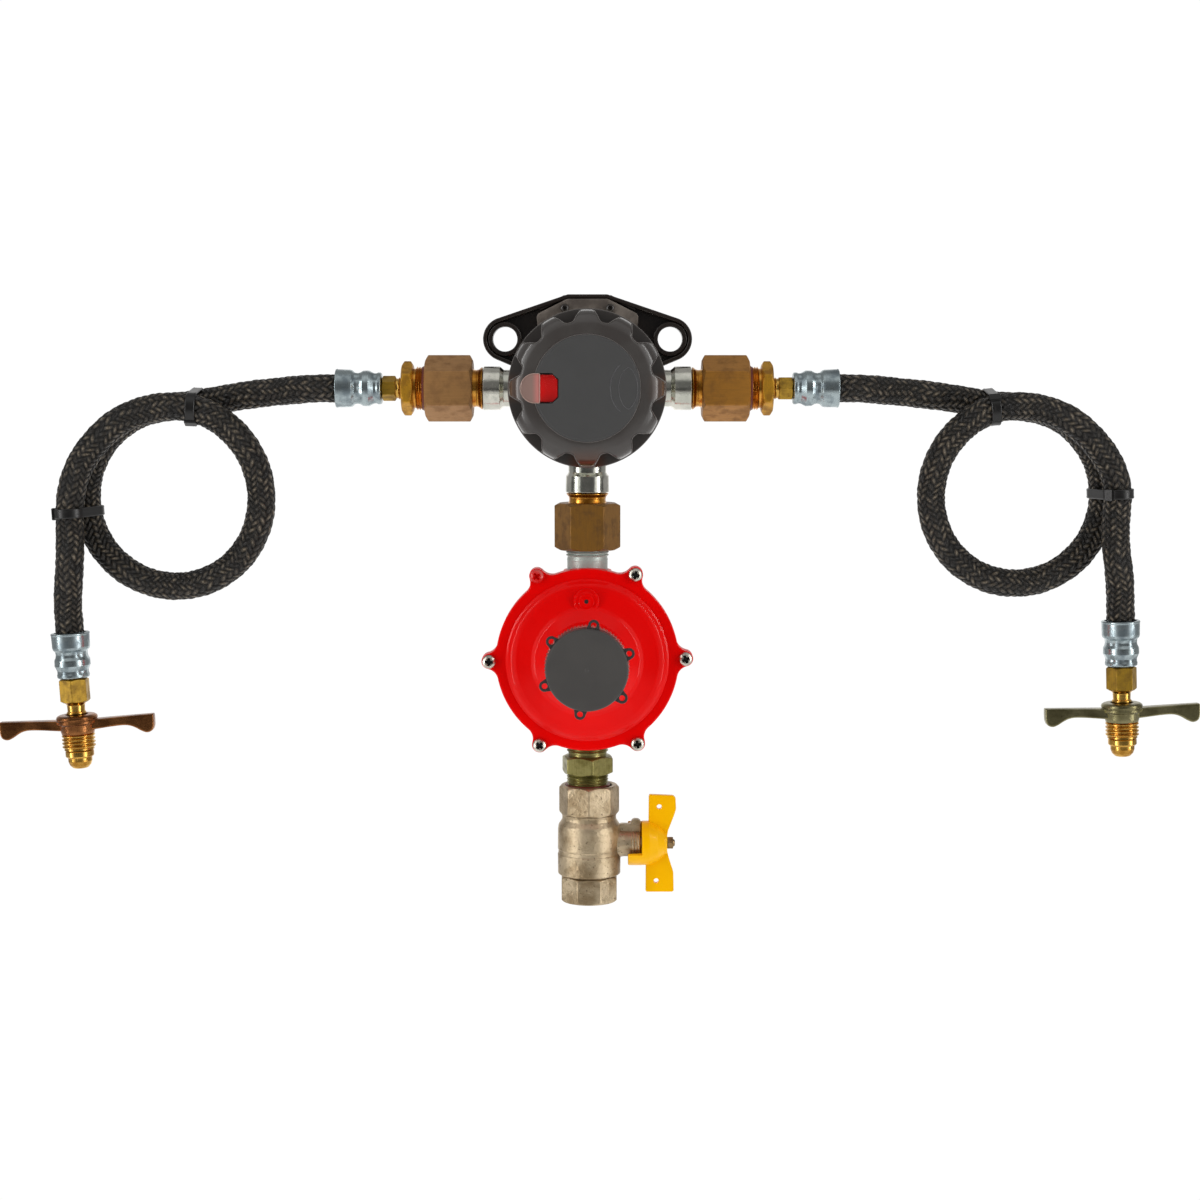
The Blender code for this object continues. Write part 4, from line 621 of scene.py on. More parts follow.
def braid():
    """Two sets of flat strands, over two and under two, drawn on u (round) and v (along, mm)."""
    m = Mat("braided_cover", "UV")
    uv = m.xyz()
    u, v = uv[0], uv[1]
    nu = m.math("ADD", m.math("MULTIPLY", u, 14.0), m.math("ADD", m.math("MULTIPLY", m.math("SINE", m.math("MULTIPLY", v, 0.19)), 0.30), m.math("MULTIPLY", m.math("SINE", m.math("ADD", m.math("MULTIPLY", v, 0.071), 1.0)), 0.20)))
    nv = m.math("ADD", m.math("MULTIPLY", v, 0.232), m.math("MULTIPLY", m.math("SINE", m.math("ADD", m.math("MULTIPLY", v, 0.13), 2.0)), 0.22))
    a, b = m.math("ADD", nu, nv), m.math("SUBTRACT", nu, nv)
    fa, fb = m.math("FLOOR", a), m.math("FLOOR", b)
    s = m.math("LESS_THAN", m.math("FLOORED_MODULO", m.math("ADD", fa, fb), 4.0), 2.0)
    ca, cb = m.math("FRACT", a), m.math("FRACT", b)

    def arch(c):
        k = m.math("SUBTRACT", m.math("MULTIPLY", c, 2.0), 1.0)
        return m.math("SUBTRACT", 1.0, m.math("MULTIPLY", k, k))

    top = m.math("ADD", m.math("MULTIPLY", arch(ca), s), m.math("MULTIPLY", arch(cb), m.math("SUBTRACT", 1.0, s)))
    step = m.math("FLOORED_MODULO", m.math("ADD", fa, fb), 4.0)
    t_a = m.math("MULTIPLY", m.math("ADD", step, cb), 0.5)
    t_b = m.math("MULTIPLY", m.math("ADD", m.math("SUBTRACT", step, 2.0), ca), 0.5)
    along = m.math("ADD", m.math("MULTIPLY", arch(t_a), s), m.math("MULTIPLY", arch(t_b), m.math("SUBTRACT", 1.0, s)))
    strands_a = m.math("SINE", m.math("MULTIPLY", ca, 31.4))
    strands_b = m.math("SINE", m.math("MULTIPLY", cb, 31.4))
    thread = m.math("ADD", m.math("MULTIPLY", strands_a, s), m.math("MULTIPLY", strands_b, m.math("SUBTRACT", 1.0, s)))
    height = m.math("ADD", m.math("MULTIPLY", top, 0.52), m.math("ADD", m.math("MULTIPLY", along, 0.44), m.math("MULTIPLY", thread, 0.045)))
    low = m.span(height, 0.34, 0.90)
    own = m.t.nodes.new("ShaderNodeTexWhiteNoise")
    own.noise_dimensions = "2D"
    both = m.t.nodes.new("ShaderNodeCombineXYZ")
    m.link(m.math("ADD", m.math("MULTIPLY", fa, s), m.math("MULTIPLY", m.math("ADD", fb, 57.0), m.math("SUBTRACT", 1.0, s))), both.inputs[0])
    m.link(m.math("FLOOR", m.math("MULTIPLY", m.math("ADD", fa, fb), 0.25)), both.inputs[1])
    m.t.links.new(both.outputs[0], own.inputs[0])
    own_v = own.outputs[0]
    dust = m.noise(14.0, 5.0, 0.6, at=m.tc.outputs["Object"])
    glint_breakup = m.noise(900.0, 2.0, 0.5, at=m.tc.outputs["Object"])
    # strands fade to near-black by height, towards their sides and into the gaps: the black hose between the strands,
    # and painted shade on the strand sides
    strand = m.mix(own_v, srgb(13, 10, 7), srgb(62, 54, 43))
    colour = m.mix(low, srgb(3, 3, 2), strand)
    # painted glints: lighter colour on the crowns of the floats, broken up in patches
    glint = m.math("MULTIPLY", m.span(height, 0.78, 0.96), m.math("MULTIPLY", m.span(glint_breakup, 0.40, 0.54), m.span(own_v, 0.25, 0.8)))
    colour = m.mix(m.math("MULTIPLY", glint, 0.75), colour, srgb(128, 117, 100))
    colour = m.mix(m.math("MULTIPLY", m.span(dust, 0.5, 0.75), 0.08), colour, srgb(70, 62, 54))
    m.bump(height, 1.0, 1.2)
    return m.done(colour, m.math("SUBTRACT", 0.62, m.math("MULTIPLY", low, 0.24)), 0.0, Specular_IOR_Level=0.38)


M["hose_rubber"] = braid()


def spline_through(points, spacing):
    """Natural cubic spline through the points, resampled at an even spacing."""
    pts = [Vector(p) for p in points]
    n = len(pts)
    t = [0.0]
    for a, b in zip(pts, pts[1:]):
        t.append(t[-1] + (b - a).length)
    h = [t[i + 1] - t[i] for i in range(n - 1)]
    second = [Vector((0, 0, 0))] * n
    c = [0.0] * n
    d = [Vector((0, 0, 0))] * n
    for i in range(1, n - 1):
        rhs = 6.0 * ((pts[i + 1] - pts[i]) / h[i] - (pts[i] - pts[i - 1]) / h[i - 1])
        m = 2.0 * (h[i - 1] + h[i]) - h[i - 1] * c[i - 1]
        c[i] = h[i] / m
        d[i] = (rhs - h[i - 1] * d[i - 1]) / m
    for i in range(n - 2, 0, -1):
        second[i] = d[i] - c[i] * second[i + 1]

    def at(u):
        i = 0
        while i < n - 2 and u > t[i + 1]:
            i += 1
        a, b = (t[i + 1] - u) / h[i], (u - t[i]) / h[i]
        return (a * pts[i] + b * pts[i + 1]
                + ((a ** 3 - a) * second[i] + (b ** 3 - b) * second[i + 1]) * h[i] ** 2 / 6.0)
    dense = [at(t[-1] * k / 1500) for k in range(1501)]
    lengths = [0.0]
    for a, b in zip(dense, dense[1:]):
        lengths.append(lengths[-1] + (b - a).length)
    count = max(2, int(round(lengths[-1] / spacing)))
    result, k = [], 0
    for i in range(count + 1):
        want = lengths[-1] * i / count
        while k < len(lengths) - 2 and lengths[k + 1] < want:
            k += 1
        span = lengths[k + 1] - lengths[k]
        f = (want - lengths[k]) / span if span else 0.0
        result.append(dense[k].lerp(dense[k + 1], f))
    return result


def hose_route(side, word):
    """Route's own points: out of the ferrule, one and a quarter turns, then down."""
    mouth = side * (COLLAR_OUT + ADAPT_LEN + TAIL_OUT + 2.4 * GAP + FERRULE_LEN)
    if word == "left":
        cx, cz, r = -257.0, -98.2, 55.5
        lead = [(mouth, -36.0, AXIS_Z), (mouth - 9.0, -36.0, AXIS_Z),
                (-183.0, -33.2, -32.0), (-203.0, -30.4, -34.0), (-223.0, -28.4, -36.9),
                (-243.0, -27.6, -40.4)]
        end, tilt = LEFT_END, LEFT_TILT
        drop = [(-319.3, -44.6, -122.0), (-320.6, -43.6, -145.0)]
    else:
        cx, cz, r = 267.0, -97.2, 54.6
        lead = [(mouth, -36.0, AXIS_Z), (mouth + 9.0, -36.0, AXIS_Z),
                (185.0, -33.2, -32.2), (207.0, -30.4, -34.4), (229.0, -28.4, -37.4),
                (250.0, -27.6, -40.8)]
        end, tilt = RIGHT_END, RIGHT_TILT
        drop = [(325.9, -44.6, -122.0), (328.6, -43.6, -142.0)]

    def loop(angle, radius, depth):
        a = math.radians(angle)
        return (cx - side * radius * math.cos(a), depth, cz + radius * math.sin(a))
    # first pass, behind
    points = list(lead)
    for angle, grow, depth in ((112, 0.2, -27.2), (138, 0, -27.0), (162, 0, -27.0), (186, 0, -27.2),
                               (210, 0, -28.0), (235, 0, -29.4), (260, 0, -31.2), (285, 0, -33.4),
                               (310, 0, -36.0), (335, 0, -38.8), (360, 0.2, -41.4),
                               (385, 0.8, -43.6), (410, 1.4, -45.0)):
        points.append(loop(angle, r + grow, depth))
    # second pass, in front
    for angle, grow, depth in ((434, 1.6, -45.6), (456, 0.6, -45.8), (480, 0.6, -45.8),
                               (505, 1.4, -45.8), (530, 4.4, -45.6)):
        points.append(loop(angle, r + grow, depth))
    points += drop
    down = Vector((math.sin(tilt), 0, -math.cos(tilt)))
    for back in (14.0, 8.0, 1.4 * GAP):
        points.append(tuple(end - down * back))
    return points


def nearest_on(points, target, low, high):
    """Point and heading of a route closest to a target, between two shares of its length."""
    path = spline_through(points, 1.0)
    best = None
    for i in range(int(len(path) * low) + 1, int(len(path) * high) - 1):
        d = (path[i] - target).length
        if best is None or d < best[0]:
            best = (d, path[i], (path[i + 1] - path[i - 1]).normalized())
    return best[1], best[2]




ROUTES = {}
for word, side in (("left", -1), ("right", 1)):
    ROUTES[word] = spline_through(hose_route(side, word), 0.55)


def hose_tube(name, path, nodes):
    """Tube along the route with the woven cover standing in relief, u round it and v along it."""
    around = 96
    pts = np.array([tuple(p) for p in path])
    tan = np.gradient(pts, axis=0)
    tan /= np.linalg.norm(tan, axis=1, keepdims=True)
    seg = np.linalg.norm(np.diff(pts, axis=0), axis=1)
    along = np.concatenate([[0], np.cumsum(seg)])
    normal = np.cross(tan[0], (0, 1, 0))
    normal /= np.linalg.norm(normal)
    normals = [normal]
    for k in range(1, len(pts)):
        n = normals[-1] - tan[k] * np.dot(normals[-1], tan[k])
        normals.append(n / np.linalg.norm(n))
    nor = np.array(normals)
    bi = np.cross(tan, nor)
    u = np.arange(around) / around
    uu, vv = np.meshgrid(u, along)
    round_ = uu * 14 + 0.30 * np.sin(vv * 0.19) + 0.20 * np.sin(vv * 0.071 + 1.0)
    down = vv * 0.232 + 0.22 * np.sin(vv * 0.13 + 2.0)
    a, b = round_ + down, round_ - down
    s = ((np.floor(a) + np.floor(b)) % 4) < 2
    ca, cb = 1 - (2 * (a % 1) - 1) ** 2, 1 - (2 * (b % 1) - 1) ** 2
    step = (np.floor(a) + np.floor(b)) % 4
    ta, tb = (step + b % 1) / 2, (step - 2 + a % 1) / 2
    la, lb = 1 - (2 * ta - 1) ** 2, 1 - (2 * tb - 1) ** 2
    relief = np.where(s, 0.5 * ca + 0.5 * la, 0.5 * cb + 0.5 * lb) - 0.5
    lump = 0.10 * np.sin(vv * 0.61 + uu * 6.283) + 0.07 * np.sin(vv * 0.23 + 2.0)
    rad = HOSE_R + 0.80 * relief + lump - 0.14
    ang = uu * 2 * math.pi
    verts = (pts[:, None, :] + nor[:, None, :] * (rad * np.cos(ang))[..., None]
             + bi[:, None, :] * (rad * np.sin(ang))[..., None])
    rows = len(pts)
    verts = verts.reshape(-1, 3)
    faces = grid_faces(rows, around)
    mesh = bpy.data.meshes.new(name)
    caps = np.array([pts[0] - tan[0] * 0.2, pts[-1] + tan[-1] * 0.2])
    allv = np.concatenate([verts, caps]) * MM
    tris = []
    for k in range(around):
        tris.append((rows * around, (k + 1) % around, k))
        tris.append((rows * around + 1, (rows - 1) * around + k, (rows - 1) * around + (k + 1) % around))
    mesh.from_pydata(allv.tolist(), [], faces.tolist() + tris)
    uvs = mesh.uv_layers.new(name="UVMap")
    col = np.concatenate([np.tile([0, 1, 1, 0], (len(faces), 1)).ravel()])
    jj = np.tile(np.arange(around), rows - 1)
    u4 = (jj[:, None] + np.array([0, 1, 1, 0])) / around
    ii = np.repeat(np.arange(rows - 1), around)
    v4 = along[ii[:, None] + np.array([0, 0, 1, 1])]
    flat = np.stack([u4, v4], -1).reshape(-1, 2)
    rest = np.zeros((len(tris) * 3, 2))
    uvs.data.foreach_set("uv", np.concatenate([flat, rest]).astype(np.float32).ravel())
    bm = bmesh.new()
    bm.from_mesh(mesh)
    bmesh.ops.recalc_face_normals(bm, faces=bm.faces)
    bm.to_mesh(mesh)
    bm.free()
    return settle(name, mesh, M["hose_rubber"], "regulator", None, nodes, 80, False, 0)


for word in ("left", "right"):
    hose_tube("cover_hose_" + word, ROUTES[word], ["hose_" + word])


def cable_tie(name, points, target, head_side, node):
    """Nylon band drawn round both passes, and its lock head."""
    a, ha = nearest_on(points, target, 0.05, 0.5)
    b, hb = nearest_on(points, target, 0.6, 0.98)
    along = (ha + hb).normalized() if ha.dot(hb) > 0 else (ha - hb).normalized()
    across = b - a
    across = across - along * across.dot(along)
    span = across.length
    across.normalize()
    side = along.cross(across)
    centre = a + across * (span / 2)
    at = Matrix((across, side, along)).transposed().to_4x4()
    at = Matrix.Translation(centre * MM) @ at
    inner, thick, half = HOSE_R + 0.5, 1.1, 3.1
    line = []
    for k in range(41):
        t = math.radians(-90 + 180 * k / 40)
        line.append((span / 2 + inner * math.cos(t), inner * math.sin(t)))
    for k in range(41):
        t = math.radians(90 + 180 * k / 40)
        line.append((-span / 2 + inner * math.cos(t), inner * math.sin(t)))
    n = len(line)
    pts = np.array(line)
    nxt, prv = np.roll(pts, -1, 0), np.roll(pts, 1, 0)
    d = nxt - prv
    nn = np.stack([d[:, 1], -d[:, 0]], -1)
    nn /= np.linalg.norm(nn, axis=1, keepdims=True)
    section = [(0.0, -half), (0.0, half), (0.25, half), (thick * 0.75, half * 0.93), (thick, half * 0.72),
               (thick * 0.86, half * 0.5), (thick * 0.86, -half * 0.5), (thick, -half * 0.72),
               (thick * 0.75, -half * 0.93), (0.25, -half)]
    rings = [np.concatenate([pts + nn * g, np.full((n, 1), z)], 1) for g, z in section]
    verts = np.concatenate(rings)
    faces = grid_faces(len(rings), n, close_rows=True)
    band = put(name, verts, faces, M["nylon_black"], "regulator", at, [node], 50)
    # lock head on the front pass
    x0 = span / 2 + (inner + 0.3) * 0.55
    y0 = head_side * (inner + 0.3) * 0.84
    turn = math.atan2(y0, x0 - span / 2)
    rot = Matrix.Rotation(turn, 4, "Z")
    box = np.array([(-1.6, -2.7), (1.7, -2.7), (2.0, -2.3), (2.0, 2.3), (1.7, 2.7), (-1.6, 2.7)])
    hm = at @ Matrix.Translation(Vector((span / 2 + inner * math.cos(turn), inner * math.sin(turn), 0)) * MM) @ rot
    head = plate(name + "_head", box, [(-3.7, -0.5), (-3.4, 0.0), (3.4, 0.0), (3.7, -0.5)], M["nylon_black"],
                 hm, sharp=30)
    return band, head


for word, targets in (("left", ((-242.0, -36.0, -41.5), (-315.5, -36.0, -106.8))),
                      ("right", ((249.5, -36.0, -41.8), (323.0, -36.0, -95.5)))):
    for spot, target, head in (("top", targets[0], -1), ("side", targets[1], 1)):
        cable_tie("band_%s_%s" % (word, spot), ROUTES[word], Vector(target), head, "tie_%s_%s" % (word, spot))


def crimped(name, at, node):
    """Pressed ferrule: smooth lip at the hose, then two rows of crimp flats with bulges between."""
    prof = fillet([(0, 10.0), (0, 11.6), (0.5, 12.0), (1.6, 11.7), (8.8, 11.55), (10.2, 11.2), (11.6, 9.9), (13.4, 9.5),
                   (15.0, 9.9), (16.8, 10.9), (20.4, 11.0), (22.0, 10.2), (23.6, 9.4), (25.0, 9.4), (26.2, 9.9),
                   (27.6, 9.8), (28.2, 9.2), (28.3, 8.4), (28.3, 4.8)], 0.5)
    ang = ring_angles(base=144)
    rings = []
    for h, r in prof:
        k = math.exp(-((h - 13.4) / 2.3) ** 2) + math.exp(-((h - 24.2) / 1.9) ** 2)
        lobe = np.abs(np.cos(ang * 4.0)) ** 3
        rings.append((np.full_like(ang, h), r - 0.55 * k * lobe + 0.25 * k))
    return lathe(name, rings, ang, M["ferrule_zinc"], at, nodes=[node], sharp=45)


def connector(word, end, tilt, wing_mat, hex_mat):
    down = Vector((math.sin(tilt), 0, -math.cos(tilt)))
    xdir = Vector((math.cos(tilt), 0, math.sin(tilt)))
    at = place(end, down, xdir)
    # the ferrule grips the hose end; its lip points back up the hose
    ferrule = crimped("ferrule_end_" + word, at, "end_ferrule_" + word)
    body = "wing_" + word
    ang = ring_angles(6, 0.0, 9.6, 0.5)
    phase = math.radians(30) if word == "left" else 0.0
    ang = ring_angles(6, phase, 9.6, 0.5)
    rings = stack([[(27.6, 4.3), (28.6, 7.0), (28.8, 8.0)], nut(28.9, 43.2, 9.6, ang, phase=phase),
                   [(43.4, 7.9), (43.8, 6.9, 0.2), (45.2, 5.5, 1.2), (49.2, 5.35), (49.8, 6.0), (50.8, 6.0), (51.3, 5.5),
                    (53.5, 6.2), (56, 6.35), (73.8, 6.35, 0.1), (73.9, 8.3), (74.4, 8.75), (77.2, 8.75), (77.9, 8.2),
                    (78.1, 7.4), (80.6, 7.35, 1.2), (83.0, 6.5, 1.5), (84.6, 5.0, 0.8), (85.0, 4.2), (85, 2.5, 0.2), (70, 2.5)]], ang, default=0.35)
    spigot = lathe("spigot_" + word, rings, ang, M[hex_mat], at, nodes=["cylinder_spigot_" + word], sharp=42)
    spigot.data.materials.append(M["gold_thread"])
    for poly in spigot.data.polygons:
        if 43.3 * MM < poly.center.z < 52.0 * MM or poly.center.z > 73.7 * MM:
            poly.material_index = 1
    # ringed bronze hub with the thread below, one turned piece with its wings
    hub = [(51.2, 7.1), (51.2, 9.6), (51.5, 11.2), (52.3, 12.4), (53.6, 12.8), (54.4, 12.2), (55.0, 12.8), (56.6, 12.7), (57.2, 11.4),
           (57.6, 11.0), (61.4, 10.5), (62.6, 10.2), (63.2, 9.9)]
    prof = fillet(hub, 0.4)
    h = 63.4
    while h < 72.4:
        prof += [(h, 8.9), (h + 0.5, 9.5), (h + 1.1, 9.5), (h + 1.6, 8.9)]
        h += 2.25
    prof += [(73.2, 9.0), (73.4, 8.2), (73.4, 7.1)]
    a2 = ring_angles(base=128)
    prof += [(72.0, 6.8), (52.0, 6.8)]
    hub_ob = lathe("hub_" + word, [(np.full_like(a2, x), np.full_like(a2, r)) for x, r in prof], a2, wing_mat,
                   at, "wing_" + word, sharp=45, closed=True)
    thread = [(63.0, 9.6), (63.3, 10.06)]
    h = 63.4
    while h < 71.6:
        thread += [(h, 8.95), (h + 0.62, 10.08), (h + 1.02, 10.2), (h + 1.36, 10.08), (h + 2.0, 8.95)]
        h += 2.25
    thread += [(73.3, 9.2), (73.45, 8.9), (73.45, 7.1), (63.0, 7.1)]
    thread_ob = lathe("thread_" + word, [(np.full_like(a2, x), np.full_like(a2, r + 0.04)) for x, r in thread], a2,
                      M["gold_thread"], at, "wing_" + word, sharp=45, closed=True)
    # wings: a curved bar, thick at the hub, rising to a rounded lobe at each tip
    outline = [(6, 4.2), (20, 3.7), (32, 3.3), (40, 3.05), (46.0, 2.9), (47.5, 2.9), (48.0, 3.3), (48.15, 5.0), (48.1, 8.4), (47.9, 10.6),
               (47.0, 12.8), (45.2, 14.0), (42.9, 14.2), (40.0, 13.0), (36.8, 11.0), (33.4, 9.5), (29.0, 8.9), (20, 9.4), (6, 10.8)]
    pts = np.array(outline)
    dense = []
    m = len(pts)
    for i in range(m):            # rounded by a closed smooth curve
        p0, p1, p2, p3 = pts[i - 1], pts[i], pts[(i + 1) % m], pts[(i + 2) % m]
        if i == m - 1:
            dense.append(p1)
            continue
        for t in np.linspace(0, 1, 6, endpoint=False):
            if i == 0 or i == m - 2:
                dense.append(p1 + (p2 - p1) * t)
            else:
                dense.append(0.5 * ((2 * p1) + (p2 - p0) * t + (2 * p0 - 5 * p1 + 4 * p2 - p3) * t ** 2
                                    + (3 * p1 - p0 - 3 * p2 + p3) * t ** 3))
    dense = np.array(dense)
    for side, tag in ((1, "a"), (-1, "b")):
        rows = []
        for depth, grow in ((-4.6, -1.0), (-4.5, -0.55), (-4.2, -0.2), (-3.6, 0.0), (0, 0.05), (3.6, 0.0), (4.2, -0.2),
                            (4.5, -0.55), (4.6, -1.0)):
            ring = slab(dense, [(0, grow)])[0]
            rows.append(np.stack([ring[:, 0] * side, np.full(len(ring), depth), ring[:, 1] + 50.6], -1))
        verts = np.concatenate(rows)
        verts[:, 1] *= np.clip(1.0 - (np.abs(verts[:, 0]) - 14) / 90.0, 0.72, 1.0)
        n = len(dense)
        faces = [tuple(int(q) for q in f) for f in grid_faces(len(rows), n)]
        faces.append(tuple(range(n)))
        faces.append(tuple((len(rows) - 1) * n + q for q in range(n - 1, -1, -1)))
        put("wing_%s_%s" % (word, tag), verts, faces, wing_mat, "wing_" + word, at, (), 60, merge=False)
    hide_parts("wing_screw_" + word)


connector("left", LEFT_END, LEFT_TILT, M["wing_bronze"], "tail_brass")
connector("right", RIGHT_END, RIGHT_TILT, M["wing_olive"], "tail_brass")


def rings_of(profile, ang, default=0.3, seg=4, closed=False):
    one = np.ones_like(ang)
    return [(h * one, r * one) for h, r in fillet(profile, default, seg, closed)]


def turned(name, profile, mat, at, body="regulator", nodes=(), closed=False, default=0.3, base=120, sharp=40):
    ang = ring_angles(base=base)
    return lathe(name, rings_of(profile, ang, default, 4, closed), ang, mat, at, body, nodes, closed, sharp)


def threaded(h0, h1, big, pitch=1.814, depth=1.0, lead_in=True):
    """Profile of ridges, as a stack of rounded vees."""
    out = []
    h = h0
    while h + pitch <= h1 + 0.01:
        out += [(h, big - depth), (h + pitch * 0.32, big - 0.12), (h + pitch * 0.46, big), (h + pitch * 0.58, big - 0.10),
                (h + pitch * 0.88, big - depth)]
        h += pitch
    return out


# ------------------------------------------------------------------ wall bracket
def dense_outline(points, step=1.2, close=True):
    out = []
    n = len(points)
    for i in range(n if close else n - 1):
        a, b = Vector(points[i]), Vector(points[(i + 1) % n])
        k = max(1, int((b - a).length / step))
        out += [tuple(a.lerp(b, j / k)) for j in range(k)]
    return out


def soft_outline(points, radii):
    """Polygon with its corners rounded; radii is one number or one per corner."""
    n = len(points)
    out = []
    for i in range(n):
        b = Vector(points[i])
        f = radii[i] if hasattr(radii, "__len__") else radii
        u, v = Vector(points[i - 1]) - b, Vector(points[(i + 1) % n]) - b
        lu, lv = u.length, v.length
        u, v = u / lu, v / lv
        ang = u.angle(v)
        if f <= 0 or ang > math.radians(176):
            out.append(tuple(b))
            continue
        t = min(f / math.tan(ang / 2), lu * 0.48, lv * 0.48)
        rr = t * math.tan(ang / 2)
        c = b + (u + v).normalized() * (rr / math.sin(ang / 2))
        s, e = b + u * t - c, b + v * t - c
        a0, a1 = math.atan2(s.y, s.x), math.atan2(e.y, e.x)
        d = (a1 - a0 + math.pi) % (2 * math.pi) - math.pi
        k = max(2, int(abs(d) * rr / 0.5) + 2)
        out += [(c.x + rr * math.cos(a0 + d * j / k), c.y + rr * math.sin(a0 + d * j / k)) for j in range(k + 1)]
    return out


WALL = place((0, 0, 0), (0, -1, 0), (1, 0, 0))      # local z out of the wall, x right, y up
lobe = [(51.8 + 13.9 * math.cos(math.radians(a)), 13.9 * math.sin(math.radians(a))) for a in np.linspace(68, -66, 28)]
right_half = [(12.4, 28.0)] + lobe + [(36.5, -21.5), (36.5, -48.0), (22.0, -64.0)]
ring_line = right_half + [(-x, y) for x, y in reversed(right_half)]
radii = [3.0] + [0.0] * 28 + [2.0, 4.0, 4.0]
ring_line = soft_outline(ring_line, radii + radii[::-1])
plate_ob = plate("bracket_plate", ring_line, [(0.0, -0.4), (0.3, 0.0), (3.9, 0.0), (4.0, -0.3)], M["bracket_plastic"],
                 WALL, nodes=["wall_bracket"])
cutters = []
for side in (-1, 1):
    bm = bmesh.new()
    bmesh.ops.create_cone(bm, cap_ends=True, segments=64, radius1=7.75 * MM, radius2=7.75 * MM, depth=0.03)
    me = bpy.data.meshes.new("c")
    bm.to_mesh(me)
    bm.free()
    c = bpy.data.objects.new("c", me)
    scene.collection.objects.link(c)
    c.matrix_world = WALL @ Matrix.Translation((side * 0.0518, 0, 0))
    cutters.append(c)
cut(plate_ob, *cutters)
levels = [(0.2, 0.0), (11.3, -0.15), (11.8, -0.35), (12.0, -0.8), (12.0, -2.1), (11.8, -2.55), (11.3, -2.75), (3.0, -3.0), (1.0, -3.0)]
rim_rings = slab(ring_line, levels)
n_line = len(ring_line)
put("bracket_rim", np.concatenate(rim_rings), grid_faces(len(levels), n_line, close_rows=True), M["bracket_plastic"],
    "regulator", WALL, (), 50)
for side, tag in ((-1, "left"), (1, "right")):
    at = WALL @ Matrix.Translation((side * 0.0518, 0, 0))
    turned("hole_ring_" + tag, [(0.2, 7.75), (11.0, 7.75, 0.0), (11.6, 8.3, 0.3), (11.6, 10.1, 0.5), (11.1, 10.6, 0.3), (3.0, 10.8), (0.3, 10.8)],
           M["bracket_plastic"], at, closed=True, base=96)
    post = WALL @ Matrix.Translation((side * 0.0142, 0.0191, 0))
    turned("tab_post_" + tag, [(3.0, 0.0), (3.0, 3.4), (12.0, 3.2), (12.0, 0.0)], M["bracket_plastic"], post, base=48)
turned("seat_ring", [(2.0, 30.0), (12.0, 30.0), (12.0, 33.5), (2.0, 33.5)], M["bracket_plastic"], FACE_ON, closed=True)
# short webs between the round seat and the outer rim
for k, (x0, y0, x1, y1) in enumerate(((14, 26.5, 30, 18.5), (-14, 26.5, -30, 18.5), (30, -12, 38, -12), (-30, -12, -38, -12))):
    d = Vector((x1 - x0, y1 - y0))
    nrm = Vector((-d.y, d.x)).normalized() * 1.1
    web = [(x0 + nrm.x, y0 + nrm.y), (x1 + nrm.x, y1 + nrm.y), (x1 - nrm.x, y1 - nrm.y), (x0 - nrm.x, y0 - nrm.y)]
    plate("bracket_web_%d" % k, web, [(3.0, 0), (10.6, 0), (11.0, -0.3)], M["bracket_plastic"], WALL)

# ------------------------------------------------------------------ changeover casting
turned("body_shell", [(12.4, 0.0), (12.4, 31.0), (13.2, 33.0, 1.0), (18.5, 38.0, 2.0), (49.0, 38.0, 1.5), (52.4, 42.3, 1.0), (57.4, 42.3, 0.5),
                      (57.4, 33.0), (50.0, 26.0), (26.0, 26.0), (26.0, 0.0)], M["zinc_casting"], FACE_ON,
       nodes=["changeover_body"], default=0.4, base=160)
for side, tag in ((-1, "left"), (1, "right")):
    at = place((0, PIPE_Y, AXIS_Z), (side, 0, 0), (0, 0, 1))
    turned("inlet_collar_" + tag, [(34.0, 11.9), (36.5, 11.6, 1.5), (51.4, 11.3, 0.8), (52.5, 12.2, 0.3), (53.8, 13.35, 0.5), (63.7, 13.5, 0.45), (64.2, 13.0, 0.2),
                                   (64.2, 10.2, 0.4), (62.8, 8.5), (58.0, 8.4), (34.0, 8.4)], M["zinc_casting"],
           at, closed=True, base=144)
at = place((0, PIPE_Y, AXIS_Z), (0, 0, -1), (1, 0, 0))
turned("outlet_collar", [(33.0, 13.0), (37.0, 11.9, 2.0), (51.6, 11.7, 0.8), (52.8, 12.4, 0.3), (54.0, 13.35, 0.5), (63.7, 13.5, 0.45), (64.2, 13.0, 0.2),
                         (64.2, 10.2, 0.4), (62.8, 8.5), (58.0, 8.4), (33.0, 8.4)], M["zinc_casting"], at,
       closed=True, base=144)
# the tab's darker zinc tone is painted shade
tab = soft_outline([(-30, -2), (-32, 15.2), (-12.6, 24.9), (12.6, 24.9), (32, 15.2), (30, -2)], [2, 3.5, 4.5, 4.5, 3.5, 2])
plate("mounting_tab", tab, [(12.3, -0.5), (12.8, 0.0), (15.0, 0.0), (15.5, -0.4), (15.6, -0.9)], M["tab_zinc"], WALL)


